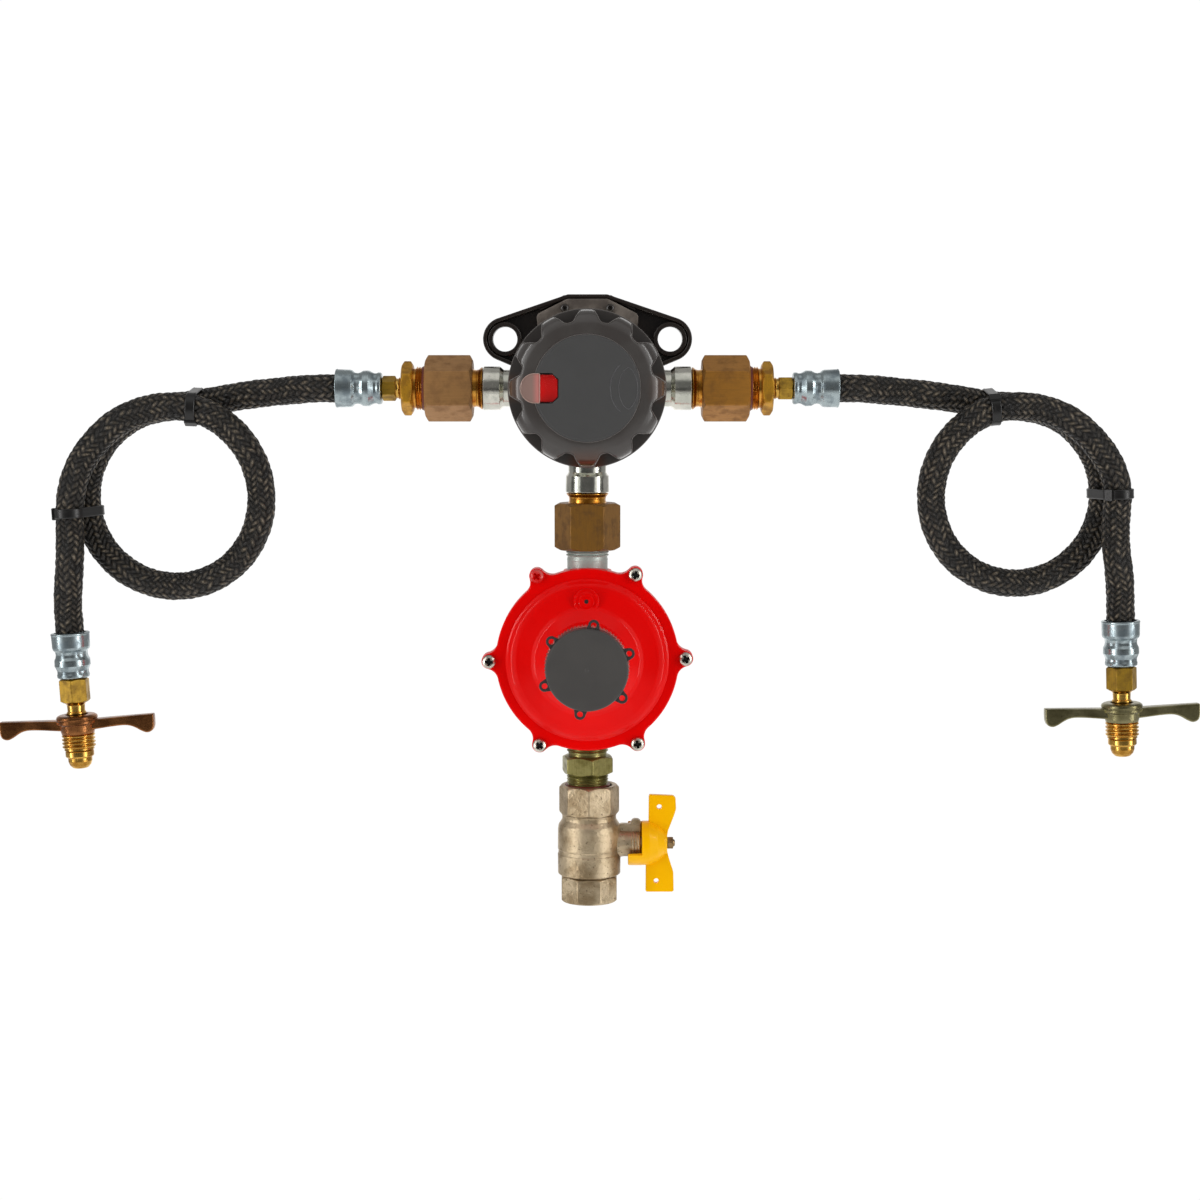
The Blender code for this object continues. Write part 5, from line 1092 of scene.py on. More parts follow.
def pan(name, origin, direction, r, h, mat, node, recess=0.52, xdir=(1, 0, 0), turn=0.0):
    """Pan head with a cross recess."""
    at = place(origin, direction, xdir) @ Matrix.Rotation(turn, 4, "Z")
    ang = ring_angles(base=96)
    prof = fillet([(-0.2, r * 0.6), (0.0, r * 0.97), (h * 0.35, r), (h * 0.75, r * 0.88), (h * 0.97, r * 0.60), (h, r * 0.3), (h, 0.0)], 0.25)
    # resample the face finely so that the cross has cells to sink into
    face = [(h, r * f) for f in np.linspace(0.60, 0.0, 16)]
    side_part = [p for p in prof if p[1] > r * 0.60]
    prof = side_part + face

    def sink(x, y, z):
        w, length = r * 0.17, r * recess
        c1 = (np.abs(y) < w) & (np.abs(x) < length)
        c2 = (np.abs(x) < w) & (np.abs(y) < length)
        rr = np.hypot(x, y)
        soft = np.clip((w * 1.35 - np.minimum(np.abs(x), np.abs(y))) / (w * 0.5), 0, 1)
        soft = soft * np.clip((length - rr) / (length * 0.25), 0, 1)
        return x, y, z - soft * h * 0.62 * (z > h * 0.8)
    one = np.ones_like(ang)
    ob = lathe(name, [(a * one, b * one) for a, b in prof], ang, mat, at, nodes=[node], shape=sink, sharp=50)
    # the cross recess is painted shadow-dark
    ob.data.materials.append(M["dark_hole"])
    w, length = r * 0.19 * MM, r * recess * MM
    for poly in ob.data.polygons:
        x, y, z = poly.center
        if z > h * 0.15 * MM and math.hypot(x, y) < length * 0.96 and min(abs(x), abs(y)) < w:
            poly.material_index = 1
    return ob


for side, tag in ((-1, "left"), (1, "right")):
    pan("small_screw_" + tag, (side * 14.2, -15.9, 19.1), (0, -1, 0), 2.6, 1.8, M["bracket_plastic"],
        "bracket_screw_" + tag, turn=0.5 * side)

turned("bonnet_bell", [(59.3, 34.0), (57.9, 42.3, 0.2), (61.6, 42.3, 0.6), (62.2, 40.5, 0.5), (66.8, 24.0, 1.5), (67.5, 15.6, 1.0), (78.3, 15.6, 0.6), (78.3, 5.4),
                       (76.3, 5.4), (76.3, 13.2), (64.6, 13.2), (64.6, 21.0), (59.3, 21.0)], M["zinc_casting"],
       FACE_ON, nodes=["bonnet"], closed=True, base=144)

# ------------------------------------------------------------------ selector knob
N_KNOB = 480


def notch_radius(theta):
    """Radius of the scalloped edge at an angle from the knob's +X."""
    rel = (theta - math.radians(15) + math.radians(15)) % math.radians(30) - math.radians(15)
    x = np.abs(47.0 * np.sin(rel)) / 8.9
    low = 40.0 + 1.0 * np.minimum(x / 0.40, 1.0) ** 3
    high = 41.0 + 6.6 * np.maximum((x - 0.40) / 0.60, 0.0) ** 0.95
    return np.where(x < 0.40, low, high)


ang = np.linspace(0, 2 * math.pi, N_KNOB, endpoint=False)
face_prof = [(85.3, 0.0, 0), (85.3, 20.0, 0), (85.3, 32.0, 0), (85.5, 32.25, 0), (86.15, 32.35, 0), (86.25, 32.9, 0),
             (86.05, 34.5, 0), (85.65, 36.5, 0), (85.1, 38.5, 0)]
for r, d in ((39.6, 84.7), (40.4, 84.3), (41.2, 83.9), (42.0, 83.45), (42.8, 82.9), (43.6, 82.2), (44.4, 81.35), (45.1, 80.3),
             (45.8, 78.9), (46.3, 77.4), (46.7, 75.6), (46.95, 73.5), (47.1, 71.0), (47.2, 68.5)):
    face_prof.append((d, r, 1))
face_prof += [(66.0, 47.3, 1), (65.9, 47.4, 0), (65.6, 47.8, 0), (65.2, 47.95, 0), (60.6, 47.95, 0), (60.2, 47.6, 0), (60.1, 43.2, 0),
              (63.6, 43.0, 0), (63.6, 37.8, 0), (82.0, 37.8, 0), (82.2, 37.0, 0), (82.2, 0.0, 0)]
rows = []
edge_r = notch_radius(ang)
for d, r, share in face_prof:
    if share:
        k = 0.35
        soft = -np.log(np.exp(-np.full_like(ang, r) / k) + np.exp(-edge_r / k)) * k
        rad = np.minimum(soft + 0.0, r)
    else:
        rad = np.full_like(ang, r)
    rows.append((np.full_like(ang, d), rad))
knob = lathe("knob_shell", rows, ang, M["knob_plastic"], FACE_ON, "knob", ["selector_knob"], sharp=34)
# the window's slot, taken out of the shell and the label alike
win = [(-31.0 + 8.7 * math.cos(math.radians(a)), 8.7 * math.sin(math.radians(a))) for a in np.linspace(90, 270, 36)]
win += [(-20.8, -8.7), (-17.2, -5.3), (-17.2, 5.3), (-20.8, 8.7)]


def cutter(outline, z0, z1, at, grow=0.0):
    rings = slab(outline, [(z0, grow), (z1, grow)])
    n = len(outline)
    bm = bmesh.new()
    vs = [[bm.verts.new(Vector(p) * MM) for p in r] for r in rings]
    for i in range(n):
        bm.faces.new((vs[0][i], vs[0][(i + 1) % n], vs[1][(i + 1) % n], vs[1][i]))
    bm.faces.new(vs[0][::-1])
    bm.faces.new(vs[1])
    bmesh.ops.recalc_face_normals(bm, faces=bm.faces)
    me = bpy.data.meshes.new("c")
    bm.to_mesh(me)
    bm.free()
    ob = bpy.data.objects.new("c", me)
    scene.collection.objects.link(ob)
    ob.matrix_world = at
    return ob


cut(knob, cutter(win, 81.0, 90.0, FACE_ON, 0.3))
label = turned("label_disc", [(85.55, 0.0), (85.55, 31.9), (86.15, 31.9, 0.15), (86.2, 31.4, 0.1), (86.12, 31.2, 0.1), (86.12, 30.7, 0.1), (86.2, 30.5, 0.1),
                              (86.2, 0.0)], M["label"], FACE_ON, "knob", ["knob_label_disc"], base=160)
cut(label, cutter(win, 81.0, 90.0, FACE_ON, 0.3))


def dome_depth(r):
    table = [(32.4, 86.2), (34.5, 86.0), (36.5, 85.6), (38.5, 85.05), (40.4, 84.25), (42.0, 83.4), (43.6, 82.1)]
    rs, ds = [t[0] for t in table], [t[1] for t in table]
    return np.interp(r, rs, ds)


# lens: flat back, front following the knob's slope, with a bevelled border
win_d = np.array(dense_outline(win, 0.8))
rings = []
for k, (shrink, lift) in enumerate(((0.0, -3.0), (0.0, -0.35), (-0.35, -0.05), (-0.9, 0.0))):
    ring = slab(win_d, [(0.0, shrink)])[0]
    z = dome_depth(np.hypot(ring[:, 0], ring[:, 1])) + lift - 0.15
    z = np.maximum(z, 82.7) if k == 0 else np.maximum(z, 83.0)
    if k == 0:
        z = np.full(len(ring), 82.65)
    rings.append(np.stack([ring[:, 0], ring[:, 1], z], -1))
centre = np.array([(-26.5, 0.0)])
for f in (0.8, 0.55, 0.3, 0.12):
    ring = slab(win_d, [(0.0, -0.9)])[0]
    xy = centre + (ring[:, :2] - centre) * f
    z = np.maximum(dome_depth(np.hypot(xy[:, 0], xy[:, 1])) - 0.15, 83.0)
    rings.append(np.stack([xy[:, 0], xy[:, 1], z], -1))
verts = np.concatenate(rings)
nw = len(win_d)
faces = [tuple(int(q) for q in f) for f in grid_faces(len(rings), nw)]
faces.append(tuple(range(nw - 1, -1, -1)))
faces.append(tuple((len(rings) - 1) * nw + q for q in range(nw)))
put("lens", verts, faces, M["window"], "knob", FACE_ON, ["indicator_window"], 40, merge=False)
# flag: red tongue with chamfered corners
flag = soft_outline([(-30.9, -8.2), (-20.4, -8.2), (-17.4, -5.1), (-17.4, 5.1), (-20.4, 8.2), (-30.9, 8.2)], [0.4, 0.4, 0.4, 0.4, 0.4, 0.4])
plate("flag_tongue", flag, [(80.4, -0.2), (80.6, 0.0), (81.7, 0.0), (82.0, -0.35)], M["red_flag"], FACE_ON, "flag",
      ["indicator_flag"])


def bead(name, pts, r, mat, body, at, closed=True):
    """Fine bead following a closed line of points, in millimetres; in the knob's light grey it paints a highlight along
    an edge.
    """
    p = np.asarray(pts, float)
    d = np.roll(p, -1, 0) - np.roll(p, 1, 0)
    d /= np.maximum(np.linalg.norm(d, axis=1, keepdims=True), 1e-9)
    up = np.array([0.0, 0.0, 1.0])
    s1 = np.cross(d, up)
    s1 /= np.maximum(np.linalg.norm(s1, axis=1, keepdims=True), 1e-9)
    s2 = np.cross(s1, d)
    rows = [p + s1 * (r * math.cos(a)) + s2 * (r * math.sin(a)) for a in np.linspace(0, 2 * math.pi, 6, endpoint=False)]
    return put(name, np.concatenate(rows), grid_faces(6, len(p), close_rows=True), mat, body, at, (), 80,
               weighted=False)


# light grey beads on the scalloped edge, the back rim and the label circle: painted edge highlights
edge_pts = []
for a, e in zip(ang, edge_r):
    r = min(e + 0.02, 47.0)
    edge_pts.append((r * math.cos(a), r * math.sin(a), float(np.interp(r, [38.5, 39.6, 40.4, 41.2, 42.0, 42.8, 43.6, 44.4, 45.1, 45.8, 46.3, 46.7, 46.95, 47.2],
                                                                   [85.1, 84.7, 84.3, 83.9, 83.45, 82.9, 82.2, 81.35, 80.3, 78.9, 77.4, 75.6, 73.5, 68.5]))))
bead("knob_edge_line", edge_pts, 0.18, M["knob_edge"], "knob", FACE_ON)
circle = [(47.8 * math.cos(a), 47.8 * math.sin(a), 65.5) for a in np.linspace(0, 2 * math.pi, 240, endpoint=False)]
bead("knob_rim_highlight_line", circle, 0.22, M["knob_edge"], "knob", FACE_ON)
circle = [(32.15 * math.cos(a), 32.15 * math.sin(a), 86.2) for a in np.linspace(math.radians(196), math.radians(524), 240)]
strip = [(x, y, z) for x, y, z in circle]
back_line = [(x * 0.996, y * 0.996, z) for x, y, z in reversed(circle)]
bead("label_circle_highlight_line", strip + back_line, 0.10, M["knob_edge"], "knob", FACE_ON)
lens_line = []
for x, y in dense_outline(win, 0.8):
    lens_line.append((x, y, float(dome_depth(math.hypot(x, y))) - 0.1))
lens_line = [q for q in lens_line if q[0] < -28.1]
top_y = max(q[1] for q in lens_line)
down = [(-28.1, y, 86.22) for y in np.linspace(-top_y, top_y, 24)]
lens_line.sort(key=lambda q: -math.atan2(q[1], -(q[0] + 28.0)))
bead("lens_border", lens_line + down[1:-1], 0.26, M["lens_edge"], "knob", FACE_ON)
# thumb rest: a low pointed oval beside a shallow crescent on the label
oval = []
for t in np.linspace(0, 2 * math.pi, 96, endpoint=False):
    c, s_ = math.cos(t), math.sin(t)
    oval.append((24.6 + 5.6 * c * (1 - 0.25 * abs(s_) ** 3), 12.2 * s_, 86.22))
bead("label_oval_line", oval, 0.16, M["label_mark"], "knob", FACE_ON)
arc_pts = [(25.0 - 11.2 * math.cos(t), 15.6 * math.sin(t), 86.22) for t in np.linspace(-1.1, 1.1, 60)]
arc_back = [(25.0 - 10.9 * math.cos(t), 15.4 * math.sin(t), 86.22) for t in np.linspace(1.1, -1.1, 60)]
bead("label_crescent_line", arc_pts + arc_back, 0.12, M["label_mark"], "knob", FACE_ON)


# ------------------------------------------------------------------ brass fittings
def adapter(tag, at, hex_mat, node, seal):
    ang = ring_angles(base=120)
    one = np.ones_like(ang)
    neck = fillet([(-6.0, 7.9), (0.2, 7.9), (0.35, 12.6, 0.2), (0.7, 13.15, 0.3), (2.6, 11.6, 1.2), (4.2, 11.25, 1.0), (6.2, 11.6, 0.4), (6.4, 12.4, 0.2), (6.4, 7.5)], 0.3)
    n = lathe("adapter_neck_" + tag, [(a * one, b * one) for a, b in neck], ang, M["bright_brass"], at, sharp=42)
    a2 = ring_angles(6, 0.0, 20.6, 1.1, base=96)
    rings = stack([[(6.3, 8.0), (6.3, 14.0)], nut(6.3, 35.6, 20.6, a2, q=1.1, face=0.965, slope=0.55, soft=0.5),
                   [(35.7, 15.0), (35.75, 13.75, 0.2), (34.6, 13.7), (19.5, 13.7), (17.5, 5.0), (6.3, 5.0)]], a2)
    lathe("adapter_hex_" + tag, rings, a2, M[hex_mat], at, nodes=[node], closed=True, sharp=44)
    if seal:
        turned("seal_ring_" + tag, [(35.6, 12.9), (35.7, 13.9), (36.5, 13.85, 0.3), (37.2, 13.2, 0.3), (37.4, 12.6)], M["sealant"],
               at)
    return n


def bushing_piece(tag, at, seal):
    ang = ring_angles(base=120)
    one = np.ones_like(ang)
    thread = [(30.0, 12.6)] + [(h, r) for h, r in threaded(35.4, 41.2, 13.33, 1.45, 0.85)] + [(41.2, 12.2), (43.2, 12.1), (43.3, 12.6)]
    lathe("bushing_thread_" + tag, [(a * one, b * one) for a, b in thread], ang, M["bright_brass"], at, sharp=60)
    a2 = ring_angles(6, 0.0, 16.9, 1.0, base=96)
    rings = stack([[(43.0, 7.2), (43.0, 11.5)], nut(43.0, 50.0, 16.9, a2, q=1.3, face=0.97, slope=0.6, soft=0.7), [(50.0, 9.0), (49.6, 7.15), (43.0, 7.15)]], a2)
    lathe("bushing_hex_" + tag, rings, a2, M["bush_brass"], at, nodes=["bushing_" + tag], closed=True, sharp=46)


def tail_piece(tag, at):
    ang = ring_angles(base=96)
    one = np.ones_like(ang)
    th = [(48.0, 6.2)] + threaded(49.9, 52.4, 6.75, 1.2, 0.6) + [(52.5, 6.1), (53.8, 6.05)]
    lathe("tail_thread_" + tag, [(a * one, b * one) for a, b in th], ang, M["gold_thread"], at, sharp=60)
    phase = math.radians(30) if tag == "right" else 0.0
    a2 = ring_angles(6, phase, 7.8, 0.5, base=72)
    rings = stack([[(53.6, 2.6), (53.6, 5.0)], nut(53.6, 62.3, 7.8, a2, phase=phase, q=0.5, face=0.95, slope=0.55, soft=0.3),
                   [(62.3, 6.0), (62.6, 4.6), (80.0, 4.4), (80.0, 2.6)]], a2)
    lathe("tail_hex_" + tag, rings, a2, M["tail_brass"], at, nodes=["hose_tail_" + tag], closed=True, sharp=46)


for side, tag in ((-1, "left"), (1, "right")):
    at = place((side * 64.2, PIPE_Y, AXIS_Z), (side, 0, 0), (0, 0, 1))
    adapter(tag, at, "old_brass" if side < 0 else "olive_brass", "port_adapter_" + tag, True)
    bushing_piece(tag, at, True)
    tail_piece(tag, at)
    crimped("ferrule_inlet_" + tag, place((side * 155.0, PIPE_Y, AXIS_Z), (-side, 0, 0), (0, 0, 1)), "inlet_ferrule_" + tag)
adapter("outlet", place((0, PIPE_Y, -95.0), (0, 0, -1), (1, 0, 0)), "dark_brass", "port_adapter_outlet", False)

# ------------------------------------------------------------------ second stage
UP = place((0, PIPE_Y, 0), (0, 0, 1), (1, 0, 0))
turned("disc_inlet", [(-118.0, 6.4), (-118.0, 12.6)] + [(-118.4 - (h - 118.4), r) for h, r in threaded(118.4, 135.0, 13.33, 1.81, 1.0)]
       + [(-136.8, 12.7), (-137.2, 12.55, 0.3), (-152.8, 12.55, 0.3), (-153.0, 6.4)], M["grey_steel"], UP,
       nodes=["second_stage_inlet"], default=0.0, base=144)

ear_a = [math.radians(0.8 + 60 * k) for k in range(6)]


def flange_r(theta, r0, ear, pitch, blend=8.0):
    """Disc edge with six round ears, each joined by a smooth fillet."""
    rel = (theta - math.radians(0.8) + math.pi / 6) % (math.pi / 3) - math.pi / 6
    d = pitch * np.cos(rel)
    disc = ear * ear - (pitch * np.sin(rel)) ** 2
    lobe_r = np.where(disc > 0, d + np.sqrt(np.maximum(disc, 0)), 0)
    # fillet circle tangent outside the disc and outside the ear
    q = blend
    c1, c2, base = r0 + q, ear + q, pitch
    cosg = (c1 * c1 + base * base - c2 * c2) / (2 * c1 * base)
    g = math.acos(max(-1, min(1, cosg)))
    a = np.abs(rel)
    # ray against the fillet circle (near side)
    dd = c1 * np.cos(a - g)
    dis2 = q * q - (c1 * np.sin(a - g)) ** 2
    fr = dd - np.sqrt(np.maximum(dis2, 0))
    # where the fillet starts on the ear and on the disc
    ex = pitch + (c1 * math.cos(g) - pitch) * ear / c2
    ey = c1 * math.sin(g) * ear / c2
    a_ear, a_disc = math.atan2(ey, ex), g
    return np.where(a < a_ear, lobe_r, np.where(a < a_disc, fr, r0))


ang = np.linspace(0, 2 * math.pi, 540, endpoint=False)
one = np.ones_like(ang)


def eared(name, spec, mat, nodes, sharp=40):
    rows = []
    for d, mode, val in spec:
        rows.append((d * one, flange_r(ang, 56.3 + val, 4.75 + val, 60.4) if mode == "e" else val * one))
    return lathe(name, rows, ang, mat, DISC_ON, nodes=nodes, sharp=sharp, closed=True)


eared("disc_back_flange", [(44.2, "r", 44.0), (44.0, "r", 50.0), (44.0, "e", -0.6), (44.15, "e", -0.2), (44.5, "e", 0.0), (50.4, "e", 0.0), (50.8, "e", -0.15),
                           (51.0, "e", -0.5), (51.0, "r", 50.0), (51.0, "r", 44.0)], M["red_edge"], ["second_stage_body"])
turned("disc_gasket", [(51.0, 54.6), (52.6, 54.6)], M["dark_hole"], DISC_ON, base=160)
turned("disc_bowl", [(18.0, 0.0), (18.0, 26.0, 1.5), (22.0, 35.0, 4.0), (36.0, 45.0, 5.0), (44.0, 50.0, 1.0), (45.0, 50.5)], M["red_paint"],
       DISC_ON, base=200)
turned("disc_top_boss", [(-142.7, 12.9), (-142.7, 14.4, 0.4), (-143.2, 14.9, 0.5), (-158.0, 15.2, 2.0), (-172.0, 17.5, 1.0)], M["red_paint"], UP, base=120)
turned("disc_low_boss", [(-250.2, 13.0), (-250.2, 14.4, 0.4), (-249.7, 14.9, 0.5), (-234.0, 15.2, 2.0), (-222.0, 17.5, 1.0)], M["red_paint"], UP, base=120)
eared("disc_front_flange", [(52.6, "r", 49.0), (52.6, "e", -0.5), (52.75, "e", -0.15), (53.1, "e", 0.0), (56.2, "e", 0.0), (56.7, "e", -0.15), (56.95, "e", -0.5),
                            (57.05, "e", -0.9), (57.1, "r", 55.0), (57.1, "r", 49.0)], M["red_paint"], ["second_stage_cover"])
dome = [(57.0, 50.4, 0.3), (57.7, 50.1, 0.4), (58.4, 49.0, 1.2), (60.4, 47.0, 6.0), (61.6, 43.6, 8.0), (62.4, 40.0, 6.0), (64.0, 34.2, 6.0), (65.3, 31.8, 5.0), (66.9, 30.0, 1.6),
        (69.2, 27.4, 3.0), (71.5, 25.0, 1.6), (74.0, 24.5, 1.0), (94.7, 24.3, 0.2), (94.7, 19.1), (68.0, 19.1), (62.0, 30.0), (58.5, 44.0)]
turned("disc_dome", dome, M["red_paint"], DISC_ON, closed=True, base=240)
vent = place((-0.5, 0, DISC_Z + 36.9), (0, -1, 0), (1, 0, 0))
turned("vent_boss", [(61.0, 7.9), (63.6, 7.8), (64.9, 7.5, 0.4), (65.1, 6.9, 0.3), (64.6, 6.5, 0.3), (64.4, 4.8, 0.3), (65.1, 4.4, 0.3), (65.2, 3.2, 0.4), (64.7, 1.7, 0.3), (64.6, 1.35, 0.1),
                     (62.0, 1.3)], M["red_paint"], vent, default=0.3, base=96)
# dark disc in the vent hole: painted shade
turned("vent_bore", [(64.45, 0.0), (64.5, 1.45)], M["dark_hole"], vent, base=48)

for k in range(6):
    a = ear_a[k]
    origin = (60.4 * math.cos(a), -57.15, DISC_Z + 60.4 * math.sin(a))
    ob = pan("cover_fixing_%d" % (k + 1), origin, (0, -1, 0), 4.2, 3.1, M["screw_nickel"], "cover_screw_%d" % (k + 1), 0.62,
             turn=0.4 + 0.9 * k)
    if k == 2:
        ob.data.materials[0] = M["red_screw"]
        ob.data.materials[1] = M["red_edge"]

# spring bell teeth under the cap, their pink a painted highlight on the red enamel, and the cap with its sealing
# eyelets
ang2 = np.linspace(0, 2 * math.pi, 576, endpoint=False)
teeth = 0.60 * (np.sin(ang2 * 72) > 0.0)
one2 = np.ones_like(ang2)
lathe("bell_teeth", [(89.6 * one2, 24.2 * one2), (90.0 * one2, 25.0 + teeth), (94.2 * one2, 25.0 + teeth), (94.6 * one2, 24.4 * one2)], ang2,
      M["bell_rib"], DISC_ON, sharp=30)
cap = [(91.6, 15.5), (91.6, 18.2), (95.0, 18.3), (95.0, 24.2, 0.2), (95.4, 24.7, 0.3), (105.9, 24.75, 0.5), (106.9, 24.1, 0.6), (107.0, 22.8, 0.3), (106.9, 1.2, 0.1), (107.1, 0.8, 0.1),
       (107.1, 0.0)]
turned("cap_shell", cap, M["cap_plastic"], DISC_ON, nodes=["spring_cap"], base=160)
def lug(name, k):
    """Flat eyelet: a ring whose outside runs into the cap on two tangents."""
    at = DISC_ON @ Matrix.Rotation(math.radians(21.2 + 60 * k), 4, "Z")
    t = np.linspace(0, 2 * math.pi, 72, endpoint=False)
    ox, oy = 26.9 + 3.35 * np.cos(t), 3.35 * np.sin(t)
    inward = np.clip(-np.cos(t), 0, 1)
    ox = np.where(np.cos(t) < 0, 26.9 - 3.9 * inward, ox)
    oy = np.where(np.cos(t) < 0, np.sign(np.sin(t)) * (3.35 * np.abs(np.sin(t)) ** 0.25 + 1.3 * inward), oy)
    ix, iy = 26.9 + 1.75 * np.cos(t), 1.75 * np.sin(t)
    rows = []
    for x, y, z in ((ix, iy, 103.4), (ox, oy, 103.4), (ox, oy, 104.7), (26.9 + (ox - 26.9) * 0.94, oy * 0.94, 105.05), (26.9 + (ix - 26.9) * 1.1, iy * 1.1, 105.05), (ix, iy, 104.8)):
        rows.append(np.stack([x, y, np.full_like(t, z)], -1))
    return put(name, np.concatenate(rows), grid_faces(len(rows), len(t), close_rows=True), M["lug_plastic"],
               "regulator", at, (), 40, merge=False)


for k in range(6):
    lug("cap_eyelet_%d" % k, k)

# ------------------------------------------------------------------ outlet nipple and ball valve
a2 = ring_angles(6, math.radians(11 + 30), 16.8, 0.9, base=96)
one3 = np.ones_like(a2)
low_th = [(-(h), r) for h, r in threaded(271.9, 279.5, 13.05, 1.81, 0.95)]
prof_up = [(-271.0, 12.4), (-271.6, 12.0)] + low_th + [(-280.0, 12.4), (-290.8, 12.4), (-291.0, 8.5)]


def nut_down(h0, h1, big, ang, **kw):
    """nut() for a bar that runs towards -Z."""
    return [(-h, r) for h, r in nut(-h0, -h1, big, ang, **kw)]


rings = [(-238.0 * one3, 8.5 * one3), (-238.0 * one3, 12.4 * one3)]
rings += [(-h * one3, r * one3) for h, r in threaded(250.0, 257.4, 13.0, 1.81, 0.95)]
rings += [(h * one3, r * one3) for h, r in fillet([(-257.6, 12.1), (-258.2, 11.9), (-259.4, 11.95), (-259.6, 12.6)], 0.2)]
rings += nut_down(-259.6, -271.0, 16.8, a2, phase=math.radians(41), q=0.9, face=0.955, slope=0.5, soft=0.5)
rings += [(h * one3, r * one3) for h, r in prof_up]
lathe("nipple", rings, a2, M["yellow_zinc"], UP, nodes=["outlet_nipple"], sharp=46)
turned("valve_sealant", [(-277.6, 12.7), (-277.9, 14.2), (-278.6, 14.2), (-278.9, 12.7)], M["sealant"], UP)

VALVE = place((VALVE_X, PIPE_Y, 0), (0, 0, 1), (1, 0, 0))
front_corner = math.radians(-90)
a8 = ring_angles(8, front_corner, 18.3, 1.2, base=96)
one8 = np.ones_like(a8)
rings = stack([[(-286.0, 14.3), (-278.6, 14.4, 0.1), (-278.2, 14.9, 0.3)]], a8)
rings += nut_down(-278.2, -296.6, 18.9, a8, sides=8, phase=front_corner, q=1.2, face=0.985, slope=0.9, soft=0.9, bottom=True, top=True)
rings += [(h * one8, r * one8) for h, r in fillet([(-296.7, 17.2), (-298.0, 16.9, 1.2), (-300.0, 17.0, 1.5), (-303.4, 19.2, 2.5), (-306.0, 19.6, 2.0), (-318.5, 19.7, 0.3), (-319.4, 19.35, 0.3),
                                                    (-321.4, 19.35, 0.3), (-322.0, 19.75, 0.4), (-334.2, 19.6, 0.6), (-334.8, 18.9, 0.2), (-334.8, 14.0)], 0.4)]
lathe("valve_barrel", rings, a8, M["sand_nickel"], VALVE, nodes=["valve_body"], sharp=46)
flat_front = math.radians(-90 + 22.5)
a8 = ring_angles(8, flat_front, 18.4, 1.2, base=96)
one8 = np.ones_like(a8)
rings = [(-334.9 * one8, 12.0 * one8), (-334.9 * one8, 16.6 * one8), (-335.4 * one8, 16.9 * one8)]
rings += nut_down(-335.6, -351.9, 18.7, a8, sides=8, phase=flat_front, q=1.2, face=0.985, slope=0.9, soft=0.9)
rings += [(h * one8, r * one8) for h, r in fillet([(-352.0, 15.4), (-352.0, 14.2, 0.3), (-351.2, 13.3)], 0.2)]
rings += [(-h * one8, r * one8) for h, r in [(h, 26.5 - r) for h, r in reversed(threaded(340.0, 350.6, 13.25, 1.81, 0.9))]]
rings += [(-339.0 * one8, 12.0 * one8), (-338.9 * one8, 7.5 * one8)]
lathe("valve_foot", rings, a8, M["sand_nickel"], VALVE, nodes=["valve_end"], sharp=46)

STEM = place((VALVE_X, PIPE_Y, STEM_Z), (1, 0, 0), (0, 0, 1))      # local z along +X, x up, y towards the front
turned("valve_boss", [(14.0, 9.4), (19.5, 8.8, 1.5), (22.0, 8.4, 0.6), (26.4, 8.4, 0.3), (26.8, 8.05, 0.15), (27.2, 8.4, 0.15), (28.2, 8.4, 0.2), (28.6, 8.05, 0.15), (29.0, 8.4, 0.15), (30.0, 8.4, 0.2),
                      (30.4, 8.05, 0.15), (30.8, 8.4, 0.15), (31.8, 8.35, 0.4), (32.1, 7.6, 0.2), (32.1, 4.2)], M["sand_nickel"], STEM)
# stop ear: rounded top, standing on the barrel beside the boss
ear = soft_outline([(17.0, 4.0), (32.4, 4.0), (32.4, 15.4), (27.2, 15.6), (25.6, 12.4), (19.5, 12.6), (17.0, 9.0)], [0.5, 0.6, 2.4, 2.4, 1.0, 2.0, 2.0])
plate("valve_ear", ear, [(33.2, -0.6), (33.6, -0.1), (34.2, 0.0), (38.0, 0.0), (38.7, -0.15), (39.0, -0.6)], M["sand_nickel"],
      place((VALVE_X, 0, STEM_Z), (0, -1, 0), (1, 0, 0)), sharp=42)

# handle: turned hub, two flat wings with eyes, and a skirt over the boss
HUB = place((0, PIPE_Y, STEM_Z), (1, 0, 0), (0, 0, 1))
turned("handle_hub", [(34.0, 4.4), (34.0, 13.4, 0.3), (34.5, 13.9, 0.4), (38.6, 13.9, 1.0), (40.2, 13.2, 2.0), (44.0, 11.4, 2.0), (48.2, 7.6, 1.5), (49.8, 6.8, 0.5), (50.0, 6.0, 0.2), (50.0, 4.4)],
       M["handle_yellow"], HUB, "handle", ["valve_handle"], closed=True, base=120)
SIDE = place((0, PIPE_Y, STEM_Z), (0, -1, 0), (1, 0, 0))             # local x along +X, y up, z to the front
up_wing = soft_outline([(38.2, 4), (38.4, 30), (39.0, 31.0), (53.6, 30.4), (55.2, 29), (55.6, 22), (54.6, 18.4), (50.6, 8), (49.6, 2), (44, 2)],
                       [1, 0.6, 0.6, 1.2, 1.2, 3, 4, 4, 1, 1])
down_wing = soft_outline([(44, -2), (49.4, -2), (50.8, -8.4), (54, -18.6), (54.2, -30.2), (53.4, -31), (37.2, -31), (36.5, -30.4), (36.6, -8), (40, -2)],
                         [1, 1, 4, 4, 1, 0.8, 0.8, 0.6, 3, 1])
